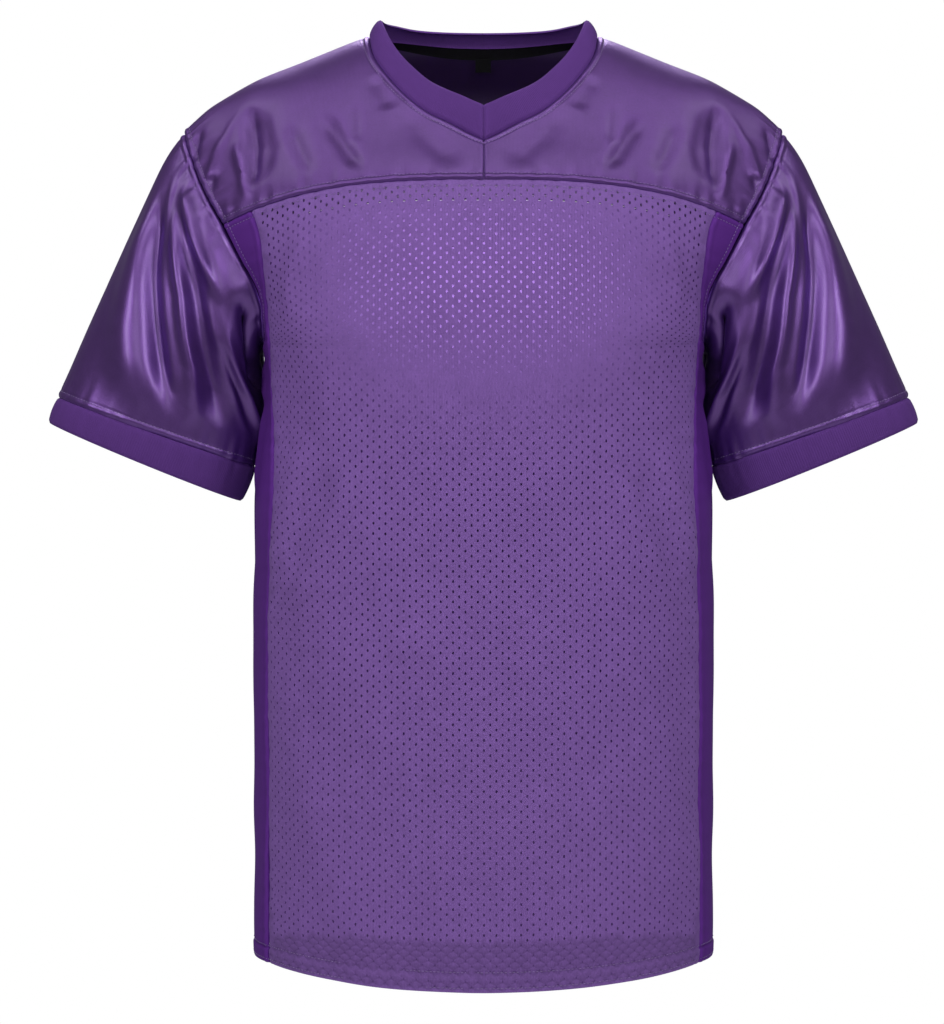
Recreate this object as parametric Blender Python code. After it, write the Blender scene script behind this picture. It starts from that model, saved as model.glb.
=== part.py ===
"""A loose short-sleeved football jersey, filled out with no wearer.

Metres, +Z up, the chest faces -Y. The origin is the point at the middle of the neck base, level with
the high points of the shoulders. Every cut piece of the garment is a closed wall of its own, and all of
the pieces of the body are read from one smooth surface:

    body(across, down)     across runs -1..1 from side to side, down is the fabric distance in metres
                           from the shoulder line, positive on the front and negative on the back
    sleeve(turn, along)    turn runs 0..1 round the arm from the shoulder tip over the front,
                           along runs 0..1 from the armhole to the cuff seam
"""

import bpy
import numpy as np

# Sizes in metres
WALL = 0.0014  # one layer of satin or mesh
RIB = 0.0022  # doubled rib of the collar and cuffs
TAPE = 0.0010
GAP = 0.0003  # between the pieces at a seam
HEM_BAND = 0.0135
HEM_EXTRA = 0.0006
CUFF_OUTER, CUFF_INNER = 0.0222, 0.0305  # cuff length at the top of the arm and under it
SEAM_FRONT, ARMPIT_FRONT, HEM_FRONT = 0.175, 0.318, 0.818
SEAM_BACK, ARMPIT_BACK, HEM_BACK = -0.210, -0.345, -0.8535
TAPE_REACH = 0.0135  # how far the tape comes down from the neck seam
TAPE_GAP = 0.0005
LABEL_WIDTH, LABEL_LENGTH = 0.0130, 0.0120

# Colour, roughness, metallic of each cloth
COLOURS = {
    "satin": ((0.155, 0.078, 0.278), 0.34, 0.45),
    "mesh": ((0.165, 0.092, 0.290), 0.62, 0.10),
    "side_cloth": ((0.050, 0.019, 0.105), 0.48, 0.10),
    "rib": ((0.088, 0.036, 0.175), 0.75, 0.0),
    "tape": ((0.010, 0.010, 0.012), 0.80, 0.0),
}


class Table:
    """Rows of named sizes, read between the rows by a smooth cubic."""

    def __init__(self, columns, rows):
        data = np.array(rows, float)
        self.names, self.x, self.y = columns[1:], data[:, 0], data[:, 1:]
        n, h = len(self.x), np.diff(self.x)
        left, right = np.eye(n), np.zeros_like(self.y)
        for i in range(1, n - 1):
            left[i, i - 1 : i + 2] = h[i - 1], 2 * (h[i - 1] + h[i]), h[i]
            rise = (self.y[i + 1] - self.y[i]) / h[i] - (self.y[i] - self.y[i - 1]) / h[i - 1]
            right[i] = 6 * rise
        self.bend = np.linalg.solve(left, right)

    def at(self, where):
        where = np.clip(np.asarray(where, float), self.x[0], self.x[-1])
        i = np.clip(np.searchsorted(self.x, where, side="right") - 1, 0, len(self.x) - 2)
        h = (self.x[i + 1] - self.x[i])[..., None]
        t = (where - self.x[i])[..., None] / h
        s = 1 - t
        values = s * self.y[i] + t * self.y[i + 1]
        values = values + h**2 / 6 * ((s**3 - s) * self.bend[i] + (t**3 - t) * self.bend[i + 1])
        return [values[..., k] for k in range(len(self.names))]


# The centre line of the body, and how each row bends from it to its edge: turn is the angle of the
# superellipse that the row covers, roundness its exponent, droop how late the row falls to its edge.
CENTRE = Table(
    ("down", "y", "z", "turn", "roundness", "droop"),
    (
        (-0.8535, 0.1300, -0.7560, 90, 2.50, 2.0),
        (-0.7300, 0.1265, -0.6330, 90, 2.50, 2.0),
        (-0.6100, 0.1225, -0.5130, 90, 2.50, 2.0),
        (-0.5000, 0.1245, -0.4030, 90, 2.50, 2.0),
        (-0.4150, 0.1300, -0.3190, 90, 2.60, 2.0),
        (-0.3450, 0.1340, -0.2500, 90, 2.90, 2.0),
        (-0.2900, 0.1345, -0.1950, 72, 2.60, 2.4),
        (-0.2500, 0.1330, -0.1550, 64, 2.40, 2.8),
        (-0.2100, 0.1290, -0.1160, 60, 2.20, 3.0),
        (-0.1600, 0.1180, -0.0635, 57, 2.10, 3.0),
        (-0.1150, 0.0990, -0.0215, 55, 2.00, 3.0),
        (-0.0780, 0.0770, 0.0080, 55, 2.00, 3.0),
        (-0.0400, 0.0400, 0.0095, 55, 2.00, 3.0),
        (0.0000, 0.0000, 0.0045, 55, 2.00, 2.9),
        (0.0700, -0.0560, -0.0370, 55, 2.00, 3.0),
        (0.1300, -0.0940, -0.0870, 55, 2.10, 3.0),
        (0.1750, -0.1170, -0.1203, 58, 2.20, 3.0),
        (0.2150, -0.1280, -0.1580, 63, 2.40, 2.8),
        (0.2550, -0.1350, -0.1960, 70, 2.60, 2.4),
        (0.3180, -0.1405, -0.2580, 90, 2.90, 2.0),
        (0.3700, -0.1410, -0.3100, 90, 2.60, 2.0),
        (0.4400, -0.1400, -0.3800, 90, 2.50, 2.0),
        (0.5600, -0.1390, -0.5000, 90, 2.50, 2.0),
        (0.7000, -0.1375, -0.6405, 90, 2.50, 2.0),
        (0.8180, -0.1360, -0.7597, 90, 2.50, 2.0),
    ),
)
ARMHOLE = Table(
    ("down", "x", "y", "z"),
    (
        (-0.345, 0.1800, 0.0000, -0.2500),
        (-0.325, 0.1782, 0.0300, -0.2420),
        (-0.292, 0.1795, 0.0570, -0.2150),
        (-0.250, 0.1930, 0.0660, -0.1810),
        (-0.210, 0.2085, 0.0610, -0.1520),
        (-0.140, 0.2275, 0.0450, -0.1200),
        (-0.070, 0.2405, 0.0240, -0.0890),
        (0.000, 0.2456, 0.0000, -0.0722),
        (0.060, 0.2410, -0.0190, -0.0880),
        (0.120, 0.2275, -0.0415, -0.1210),
        (0.175, 0.2105, -0.0580, -0.1520),
        (0.215, 0.1940, -0.0640, -0.1830),
        (0.255, 0.1800, -0.0590, -0.2130),
        (0.292, 0.1778, -0.0350, -0.2395),
        (0.318, 0.1800, 0.0000, -0.2500),
    ),
)
SIDE = Table(
    ("below_armpit", "x", "z"),
    (
        (0.000, 0.1800, -0.2500),
        (0.012, 0.1773, -0.2620),
        (0.035, 0.1768, -0.2850),
        (0.070, 0.1810, -0.3200),
        (0.110, 0.1858, -0.3600),
        (0.160, 0.1874, -0.4100),
        (0.250, 0.1873, -0.5000),
        (0.400, 0.1872, -0.6478),
        (0.480, 0.1874, -0.7238),
        (0.500, 0.1870, -0.7412),
    ),
)
# How far the line over the shoulder stands above the plain rows, by x
SHOULDER_LINE = Table(
    ("x", "rise"),
    (
        (0.0600, 0.0064),
        (0.0940, 0.0060),
        (0.1010, 0.0051),
        (0.1100, 0.0035),
        (0.1260, 0.0004),
        (0.1500, -0.0016),
        (0.1720, -0.0011),
        (0.1870, 0.0001),
        (0.2000, 0.0006),
        (0.2150, 0.0016),
        (0.2275, 0.0026),
        (0.2360, 0.0015),
        (0.2456, 0.0000),
    ),
)
# Where the mesh ends and the side panel begins, seen from the front
MESH_EDGE = Table(
    ("height", "x"),
    (
        (-0.760, 0.1722),
        (-0.650, 0.1730),
        (-0.530, 0.1732),
        (-0.430, 0.1715),
        (-0.370, 0.1685),
        (-0.325, 0.1688),
        (-0.290, 0.1700),
        (-0.2526, 0.1722),
        (-0.2035, 0.1751),
        (-0.176, 0.1775),
        (-0.157, 0.1805),
        (-0.141, 0.1867),
    ),
)
# The neck seam from the centre front (0) over the high point of the shoulder (0.5) to the centre back
# (1), and the free edge of the collar. The front half is placed by height and the back half by y.
NECK = Table(
    ("round", "seam_x", "height", "y"),
    (
        (0.000, 0.0000, -0.0870, -0.0940),
        (0.040, 0.0121, -0.0808, -0.0898),
        (0.085, 0.0247, -0.0733, -0.0845),
        (0.143, 0.0405, -0.0650, -0.0775),
        (0.199, 0.0549, -0.0547, -0.0690),
        (0.281, 0.0711, -0.0384, -0.0550),
        (0.356, 0.0827, -0.0234, -0.0400),
        (0.425, 0.0904, -0.0097, -0.0240),
        (0.500, 0.0940, 0.0050, -0.0035),
        (0.580, 0.0915, 0.0070, 0.0220),
        (0.661, 0.0830, 0.0075, 0.0430),
        (0.743, 0.0680, 0.0080, 0.0600),
        (0.825, 0.0480, 0.0080, 0.0710),
        (0.910, 0.0250, 0.0080, 0.0765),
        (1.000, 0.0000, 0.0080, 0.0780),
    ),
)
COLLAR_EDGE = Table(
    ("round", "x", "y", "z"),
    (
        (0.000, 0.0000, -0.0830, -0.0578),
        (0.040, 0.0075, -0.0800, -0.0545),
        (0.085, 0.0160, -0.0745, -0.0500),
        (0.143, 0.0285, -0.0670, -0.0440),
        (0.199, 0.0410, -0.0580, -0.0370),
        (0.281, 0.0545, -0.0490, -0.0257),
        (0.356, 0.0660, -0.0385, -0.0133),
        (0.425, 0.0757, -0.0245, 0.0014),
        (0.500, 0.0847, -0.0025, 0.0192),
        (0.580, 0.0826, 0.0190, 0.0212),
        (0.661, 0.0730, 0.0370, 0.0210),
        (0.743, 0.0595, 0.0515, 0.0200),
        (0.825, 0.0420, 0.0610, 0.0194),
        (0.910, 0.0215, 0.0657, 0.0191),
        (1.000, 0.0000, 0.0670, 0.0190),
    ),
)
# The sleeve's sections, from its line over the top of the arm to the one under it
SLEEVE = Table(
    ("along", "over_x", "over_z", "under_x", "under_z", "front", "back"),
    (
        (0.00, 0.2456, -0.0722, 0.1800, -0.2500, 0.0600, 0.0600),
        (0.06, 0.2565, -0.0865, 0.1830, -0.2528, 0.0625, 0.0620),
        (0.13, 0.2648, -0.1016, 0.1828, -0.2605, 0.0635, 0.0630),
        (0.22, 0.2722, -0.1188, 0.1810, -0.2700, 0.0630, 0.0630),
        (0.40, 0.2912, -0.1597, 0.1797, -0.2880, 0.0610, 0.0610),
        (0.60, 0.3108, -0.2033, 0.1804, -0.3075, 0.0575, 0.0580),
        (0.80, 0.3305, -0.2463, 0.1828, -0.3270, 0.0535, 0.0540),
        (1.00, 0.3481, -0.2887, 0.1868, -0.3458, 0.0500, 0.0500),
    ),
)
AXIS = np.array((0.375, 0.0, -0.927))  # the sleeve's direction at the cuff
FRONT_LOW = 0.0018  # how much lower the front of the sleeve ends than its sides

# Large folds of the body, as lines on it seen from the front (x, z pairs), each with its half width
# and its height, negative for a trough. They are the same on both sides.
BODY_FOLDS = (
    # points, half width, height
    (((0.184, -0.045), (0.176, -0.088), (0.181, -0.128)), 0.0085, -0.0050),  # leaf beside the armhole
    (((0.196, -0.082), (0.188, -0.110), (0.184, -0.132)), 0.0060, 0.0035),
    (((0.226, -0.066), (0.231, -0.100)), 0.0055, -0.0030),
    (((0.205, -0.072), (0.219, -0.118)), 0.0050, 0.0022),
    (((0.116, -0.073), (0.092, -0.104)), 0.0080, -0.0026),
    (((0.053, -0.062), (0.030, -0.104)), 0.0105, -0.0030),
    (((0.134, -0.320), (0.150, -0.355), (0.161, -0.392), (0.168, -0.450)), 0.0120, 0.0038),
    (((0.118, -0.345), (0.138, -0.388), (0.156, -0.440)), 0.0110, -0.0030),
    (((0.140, -0.150), (0.154, -0.200), (0.158, -0.230)), 0.0085, 0.0028),
    (((0.1750, -0.290), (0.1792, -0.318), (0.1830, -0.345), (0.1855, -0.375)), 0.0080, 0.0024),
)
# Large folds of the sleeve: points (turn, along), half width and height
SLEEVE_FOLDS = (
    (((0.05, 0.12), (0.10, 0.33), (0.135, 0.55), (0.18, 0.75), (0.24, 0.90)), 0.0190, 0.0060),
    (((0.07, 0.14), (0.12, 0.28), (0.175, 0.48), (0.212, 0.63), (0.25, 0.78), (0.272, 0.88)), 0.0130, -0.0070),
    (((0.12, 0.08), (0.180, 0.25), (0.235, 0.40), (0.285, 0.61), (0.310, 0.80), (0.300, 0.94)), 0.0130, 0.0050),
    (((0.20, 0.20), (0.27, 0.38), (0.335, 0.62), (0.365, 0.85)), 0.0130, -0.0055),
    (((0.15, 0.06), (0.245, 0.17), (0.290, 0.26), (0.330, 0.36), (0.405, 0.52), (0.46, 0.80)), 0.0120, 0.0060),
    (((0.30, 0.12), (0.355, 0.18), (0.41, 0.27), (0.455, 0.42), (0.49, 0.62)), 0.0170, -0.0160),
)
# The turn that each column of the sleeve reaches at the cuff, so that the columns follow the folds
DRIFT = Table(
    ("turn", "at_cuff"),
    (
        (0.00, 0.000),
        (0.05, 0.120),
        (0.10, 0.205),
        (0.15, 0.270),
        (0.20, 0.320),
        (0.25, 0.365),
        (0.30, 0.405),
        (0.35, 0.440),
        (0.40, 0.467),
        (0.45, 0.486),
        (0.50, 0.500),
    ),
)


def unit(vectors):
    return vectors / np.maximum(np.linalg.norm(vectors, axis=-1, keepdims=True), 1e-12)


def ease(t):
    t = np.clip(t, 0, 1)
    return t * t * (3 - 2 * t)


def edge_of(down):
    """The side line below the armpits and the armhole above them."""
    front = down >= 0
    armpit = np.where(front, ARMPIT_FRONT, -ARMPIT_BACK)
    hem = np.where(front, HEM_FRONT, -HEM_BACK)
    below = (np.abs(down) - armpit) / (hem - armpit) * 0.5
    hole, side = ARMHOLE.at(down), SIDE.at(below)
    under = below > 0
    return (
        np.where(under, side[0], hole[0]),
        np.where(under, 0.0, hole[1]),
        np.where(under, side[1], hole[2]),
    )


def row_point(part, down):
    """The plain surface: part runs 0..1 along the superellipse's angle of the row."""
    y, z, turn, roundness, droop = CENTRE.at(down)
    edge_x, edge_y, edge_z = edge_of(down)
    turn = np.radians(np.minimum(turn, 90))

    def arc(angle):
        s, c = np.sin(angle), np.maximum(np.cos(angle), 0)
        reach = (s**roundness + c**roundness) ** (-1 / roundness)
        return reach * s, 1 - reach * c

    out, back = arc(part * turn)
    out_end, back_end = arc(turn)
    out = out / out_end
    x = edge_x * out
    rise = SHOULDER_LINE.at(x)[0] * np.exp(-((down / 0.06) ** 2))
    return np.stack((x, y + (edge_y - y) * back / back_end, z + (edge_z - z) * out**droop + rise), -1)


# Even steps of fabric along each row
DOWN_STEPS = np.linspace(HEM_BACK, HEM_FRONT, 835)
PART_STEPS = np.linspace(0, 1, 161)
_rows = row_point(PART_STEPS[None, :], DOWN_STEPS[:, None])
_run = np.cumsum(np.linalg.norm(np.diff(_rows, axis=1), axis=-1), axis=1)
ROW_LENGTH = _run[:, -1]
ACROSS_STEPS = np.linspace(0, 1, 161)
PART_OF = np.array(
    [np.interp(ACROSS_STEPS, np.append(0, run / run[-1]), PART_STEPS) for run in _run]
)


def row_length(down):
    return np.interp(down, DOWN_STEPS, ROW_LENGTH)


def plain_body(across, down):
    across, down = np.broadcast_arrays(np.asarray(across, float), np.asarray(down, float))
    far = np.clip(np.abs(across), 0, 1)
    i = (down - DOWN_STEPS[0]) / (DOWN_STEPS[1] - DOWN_STEPS[0])
    j = far * (len(ACROSS_STEPS) - 1)
    i0 = np.clip(i.astype(int), 0, len(DOWN_STEPS) - 2)
    j0 = np.clip(j.astype(int), 0, len(ACROSS_STEPS) - 2)
    s, t = i - i0, j - j0
    part = (1 - s) * ((1 - t) * PART_OF[i0, j0] + t * PART_OF[i0, j0 + 1]) + s * (
        (1 - t) * PART_OF[i0 + 1, j0] + t * PART_OF[i0 + 1, j0 + 1]
    )
    points = row_point(part, down)
    points[..., 0] *= np.where(across < 0, -1, 1)
    return points


def near_line(points, line, width):
    """1 on a line, fading to 0 to its sides and at its ends."""
    line = np.asarray(line, float)
    best, place = np.full(points.shape[:-1], 1e9), np.zeros(points.shape[:-1])
    lengths = np.linalg.norm(np.diff(line, axis=0), axis=1)
    total, run = lengths.sum(), 0.0
    for start, end, length in zip(line[:-1], line[1:], lengths):
        t = np.clip(((points - start) @ (end - start)) / length**2, 0, 1)
        away = np.linalg.norm(points - start - t[..., None] * (end - start), axis=-1)
        nearer = away < best
        best = np.where(nearer, away, best)
        place = np.where(nearer, (run + t * length) / total, place)
        run += length
    ends = ease(place / 0.3) * ease((1 - place) / 0.3)
    return np.exp(-((best / width) ** 2)) * ends


def place_on_body(x, level, front):
    """(across, down) of the places at x whose height, or on the back whose y, is level."""
    x, level, front = np.broadcast_arrays(np.asarray(x, float), level, front)
    near, far = np.zeros(x.shape), np.where(front, HEM_FRONT, -0.2)
    for _ in range(36):
        down = (near + far) / 2
        low, high = np.zeros(x.shape), np.ones(x.shape)
        for _ in range(24):
            across = (low + high) / 2
            inside = plain_body(across, down)[..., 0] < x
            low, high = np.where(inside, across, low), np.where(inside, high, across)
        point = plain_body(across, down)
        past = np.where(front, point[..., 2] < level, point[..., 1] > level)
        near, far = np.where(past, near, down), np.where(past, down, far)
    return across, down


def metric(across, down):
    return np.stack((np.abs(across) * row_length(down), down), -1)


FOLD_LINES = []
for _points, _width, _height in BODY_FOLDS:
    _x, _z = np.array(_points).T
    FOLD_LINES.append((metric(*place_on_body(_x, _z, True)), _width, _height))


def body_lift(across, down):
    """How far the folds and the hem's turned-up band stand out."""
    across, down = np.broadcast_arrays(np.asarray(across, float), np.asarray(down, float))
    lift = np.zeros(across.shape)
    here = metric(across, down)
    for line, width, height in FOLD_LINES:
        lift += height * near_line(here, line, width)
    return lift + hem_extra(down)


def hem_extra(down):
    to_hem = np.where(down > 0, HEM_FRONT - down, down - HEM_BACK)
    return HEM_EXTRA * ease((HEM_BAND + 0.0015 - to_hem) / 0.0015)


def body(across, down):
    """Points and outward normals of the body's outer face."""
    across, down = np.broadcast_arrays(np.asarray(across, float), np.asarray(down, float))

    def raised(a, d):
        step = 0.002
        a0, a1 = np.clip(a - step, -1, 1), np.clip(a + step, -1, 1)
        d0, d1 = np.clip(d - 0.0015, HEM_BACK, HEM_FRONT), np.clip(d + 0.0015, HEM_BACK, HEM_FRONT)
        side = plain_body(a1, d) - plain_body(a0, d)
        fall = plain_body(a, d1) - plain_body(a, d0)
        return plain_body(a, d) + unit(np.cross(fall, side)) * body_lift(a, d)[..., None]

    step = 0.004
    a0, a1 = np.clip(across - step, -1, 1), np.clip(across + step, -1, 1)
    d0 = np.clip(down - 0.002, HEM_BACK, HEM_FRONT)
    d1 = np.clip(down + 0.002, HEM_BACK, HEM_FRONT)
    side = raised(a1, down) - raised(a0, down)
    fall = raised(across, d1) - raised(across, d0)
    normals = unit(np.cross(fall, side))
    # At the side line the front meets the back, so the normal lies in the plane of the shoulders
    at_side = (np.abs(across) > 0.9999) & (
        (down > ARMPIT_FRONT + 0.001) | (down < ARMPIT_BACK - 0.001)
    )
    normals[..., 1] = np.where(at_side, 0, normals[..., 1])
    return raised(across, down), unit(normals)


def section(angle, along):
    over_x, over_z, under_x, under_z, front, back = SLEEVE.at(along)
    c, s = np.cos(angle), np.sin(angle)
    deep = np.where(s > 0, front, back)
    low = FRONT_LOW * ease(along) * s
    return np.stack(
        (
            (over_x + under_x) / 2 + (over_x - under_x) / 2 * c + AXIS[0] * low,
            -deep * s,
            (over_z + under_z) / 2 + (over_z - under_z) / 2 * c + AXIS[2] * low,
        ),
        -1,
    )


# The turn of the sleeve at each place of the armhole
HOLE_STEPS = np.linspace(ARMPIT_BACK, ARMPIT_FRONT, 401)
_hole = np.stack(ARMHOLE.at(HOLE_STEPS), -1)
_middle = np.array(((0.2456 + 0.1800) / 2, 0.0, (-0.0722 - 0.2500) / 2))
_long = np.array(((0.2456 - 0.1800) / 2, 0.0, (-0.0722 + 0.2500) / 2))
_turns = np.arctan2(-(_hole - _middle)[:, 1] / 0.06, (_hole - _middle) @ _long / (_long @ _long))
_turns[0], _turns[-1] = -np.pi, np.pi
HOLE_TURNS = _turns / (2 * np.pi)  # -0.5 under the back .. 0.5 under the front


def turn_of(down):
    return np.interp(down, HOLE_STEPS, HOLE_TURNS)


def down_of(turn):
    turn = (np.asarray(turn, float) + 0.5) % 1.0 - 0.5
    return np.interp(turn, HOLE_TURNS, HOLE_STEPS)


def plain_sleeve(turn, along):
    turn, along = np.broadcast_arrays(np.asarray(turn, float), np.asarray(along, float))
    angle = 2 * np.pi * turn
    hole = body_edge(down_of(turn))
    fade = 1 - ease(along / 0.55)
    return section(angle, along) + (hole - section(angle, 0 * along)) * fade[..., None]


def body_edge(down):
    return plain_body(np.ones_like(down), down)


def sleeve_lift(turn, along):
    turn = np.asarray(turn, float) % 1.0
    here = np.stack((turn * 0.46, along * 0.20), -1)
    lift = np.zeros(np.broadcast(turn, along).shape)
    for points, width, height in SLEEVE_FOLDS:
        line = [(t * 0.46, a * 0.20) for t, a in points]
        lift += height * near_line(here, line, width)
    return lift * ease(along / 0.08) * ease((1 - along) / 0.06)


def sleeve(turn, along):
    turn, along = np.broadcast_arrays(np.asarray(turn, float), np.asarray(along, float))

    def raised(t, a):
        a0, a1 = np.clip(a - 0.006, 0, 1), np.clip(a + 0.006, 0, 1)
        round_ = plain_sleeve(t + 0.003, a) - plain_sleeve(t - 0.003, a)
        down = plain_sleeve(t, a1) - plain_sleeve(t, a0)
        return plain_sleeve(t, a) + unit(np.cross(round_, down)) * sleeve_lift(t, a)[..., None]

    a0, a1 = np.clip(along - 0.008, 0, 1), np.clip(along + 0.008, 0, 1)
    round_ = raised(turn + 0.004, along) - raised(turn - 0.004, along)
    down = raised(turn, a1) - raised(turn, a0)
    return raised(turn, along), unit(np.cross(round_, down))


def hole_mitre(down):
    """The shared direction of the walls where the sleeve meets the body."""
    ones = np.ones_like(down)
    _, on_body = body(ones * 0.998, down)
    _, on_sleeve = sleeve(turn_of(down), ones * 0.01)
    return unit(on_body + on_sleeve)


def mesh_end(down):
    """The place across each row where the mesh panel ends."""
    down = np.atleast_1d(np.asarray(down, float))
    low, high = np.full(down.shape, 0.4), np.full(down.shape, 0.999)
    for _ in range(40):
        across = (low + high) / 2
        point = plain_body(across, down)
        inside = point[..., 0] < MESH_EDGE.at(point[..., 2])[0]
        low, high = np.where(inside, across, low), np.where(inside, high, across)
    return across


def wall(name, points, normals, faces, cloth, thick, lift=0.0):
    """A closed wall: the outer face, the inner one behind it, and a rim along every free edge."""
    points, normals = points.reshape(-1, 3), normals.reshape(-1, 3)
    thick = np.broadcast_to(np.asarray(thick, float).reshape(-1), points.shape[:1])
    used = sorted({v for face in faces for v in face})
    new = {v: i for i, v in enumerate(used)}
    faces = [tuple(new[v] for v in face) for face in faces]
    points, normals, thick = points[used], normals[used], thick[used, None]
    count = len(points)
    outer = points + normals * lift
    inner = outer - normals * thick
    edges = {}
    for face in faces:
        for a, b in zip(face, face[1:] + face[:1]):
            edges[(a, b)] = edges.get((a, b), 0) + 1
    rim = [(b, a, a + count, b + count) for a, b in edges if (b, a) not in edges]
    back = [tuple(v + count for v in reversed(face)) for face in faces]
    mesh = bpy.data.meshes.new(name)
    mesh.from_pydata(np.vstack((outer, inner)).tolist(), [], list(faces) + back + rim)
    mesh.validate()
    mesh.shade_smooth()
    mesh.set_sharp_from_angle(angle=np.radians(50))
    mesh.materials.append(material(cloth))
    piece = bpy.data.objects.new(name, mesh)
    bpy.context.scene.collection.objects.link(piece)
    return piece


def material(cloth):
    made = bpy.data.materials.get(cloth)
    if made:
        return made
    colour, roughness, metallic = COLOURS[cloth]
    made = bpy.data.materials.new(cloth)
    made.use_nodes = True
    shader = made.node_tree.nodes["Principled BSDF"]
    shader.inputs["Base Color"].default_value = (*colour, 1)
    shader.inputs["Roughness"].default_value = roughness
    shader.inputs["Metallic"].default_value = metallic
    made.diffuse_color = (*colour, 1)
    return made


def grid_faces(rows, columns, closed=False, flip=False):
    """Faces of a grid of points, rows first, that face along row x column."""
    faces = []
    for i in range(rows - 1):
        for j in range(columns if closed else columns - 1):
            k = (j + 1) % columns
            face = (i * columns + j, (i + 1) * columns + j, (i + 1) * columns + k, i * columns + k)
            faces.append(face[::-1] if flip else face)
    return faces


def mirrored(piece, name, cloth):
    """The same piece on the other side, with its own mesh."""
    mesh = piece.data.copy()
    mesh.name = name
    flat = np.empty(len(mesh.vertices) * 3, np.float32)
    mesh.vertices.foreach_get("co", flat)
    flat[0::3] *= -1
    mesh.vertices.foreach_set("co", flat)
    mesh.flip_normals()
    mesh.materials.clear()
    mesh.materials.append(material(cloth))
    twin = bpy.data.objects.new(name, mesh)
    bpy.context.scene.collection.objects.link(twin)
    return twin


def spread(start, end, count, crowd=0.0):
    """Even steps, or steps that crowd towards the end."""
    t = np.linspace(0, 1, count + 1)
    return start + (end - start) * (t + crowd * t * (1 - t))


# The places that neighbouring pieces share along their seams
YOKE_HOLE_FRONT = spread(0.0, SEAM_FRONT, 14, -0.3)
PANEL_HOLE_FRONT = spread(SEAM_FRONT, ARMPIT_FRONT, 11)
YOKE_HOLE_BACK = spread(0.0, SEAM_BACK, 8)
PANEL_HOLE_BACK = spread(SEAM_BACK, ARMPIT_BACK, 7)
LOWER_FRONT = np.concatenate(
    (spread(ARMPIT_FRONT, HEM_FRONT - HEM_BAND - 0.002, 11)[1:], HEM_FRONT - np.array((HEM_BAND, 0.0)))
)
LOWER_BACK = ARMPIT_BACK + (LOWER_FRONT - ARMPIT_FRONT) * (
    (HEM_BACK - ARMPIT_BACK) / (HEM_FRONT - ARMPIT_FRONT)
)
MESH_COLUMNS_FRONT = spread(0.0, 1.0, 13, 0.12)
MESH_COLUMNS_BACK = spread(0.0, 1.0, 8, 0.12)
HORN_COLUMNS = spread(0.0, 1.0, 4)


def mesh_panel(name, rows, columns, side):
    """The front or back panel, from the yoke seam to the hem. side is 1 in front and -1 behind."""
    down = np.concatenate((rows[0], rows[1][0:]))
    end = mesh_end(down)
    down[0] += side * GAP / 2
    half = columns[None, :] * (end - GAP / 2 / row_length(down))[:, None]
    across = np.concatenate((-half[:, :0:-1], half), axis=1)
    down = np.broadcast_to(down[:, None], across.shape)
    points, normals = body(across, down)
    faces = grid_faces(*across.shape, flip=side < 0)
    return wall(name, points, normals, faces, "mesh", WALL + 2 * hem_extra(down))


def side_panel(name):
    """The panel from the hem to the armpit, with a horn up each side of the armhole to the yoke."""
    points, normals, thick, faces, maps, offset = [], [], [], [], [], 0
    for armhole, lower, side in (
        (PANEL_HOLE_FRONT, LOWER_FRONT, 1),
        (PANEL_HOLE_BACK, LOWER_BACK, -1),
    ):
        down = np.concatenate((armhole, lower))
        start = mesh_end(down) + GAP / 2 / row_length(down)
        down[0] += side * GAP / 2
        last = len(armhole) - 1
        stop = np.ones(len(down))
        stop[:last] -= GAP / 2 / row_length(down[:last])
        across = start[:, None] + HORN_COLUMNS * (stop - start)[:, None]
        down = np.repeat(down[:, None], len(HORN_COLUMNS), axis=1)
        down[last, -1] += side * GAP / 2
        p, n = body(across, down)
        # Towards the armhole the wall turns to the direction that it shares with the sleeve
        shared = hole_mitre(armhole)
        shared = np.concatenate((shared, np.repeat(shared[-1:], len(lower), axis=0)))
        fade = np.concatenate((np.ones(len(armhole)), 1 - ease(np.abs(lower - armhole[-1]) / 0.05)))
        weight = ease((HORN_COLUMNS - 0.2) / 0.8)[None, :] * fade[:, None]
        n = unit(n * (1 - weight[..., None]) + shared[:, None, :] * weight[..., None])
        index = np.arange(across.size).reshape(across.shape) + offset
        offset += across.size
        points.append(p.reshape(-1, 3))
        normals.append(n.reshape(-1, 3))
        thick.append((WALL + 2 * hem_extra(down)).reshape(-1))
        if side < 0:  # one line of points down the side
            index[last:, -1] = maps[0][len(PANEL_HOLE_FRONT) - 1 :, -1]
        maps.append(index)
        for i in range(index.shape[0] - 1):
            for j in range(index.shape[1] - 1):
                face = (index[i, j], index[i + 1, j], index[i + 1, j + 1], index[i, j + 1])
                face = tuple(int(v) for v in face)
                faces.append(face if side > 0 else face[::-1])
    return wall(
        name, np.concatenate(points), np.concatenate(normals), faces, "side_cloth", np.concatenate(thick)
    )


def neck_places(around):
    """(across, down) of the neck seam, round the right half of the neck."""
    x, height, y = NECK.at(around)
    front = around < 0.5 + 1e-6
    across, down = place_on_body(x, np.where(front, height, y), front)
    return np.stack((across, down), -1)


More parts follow.
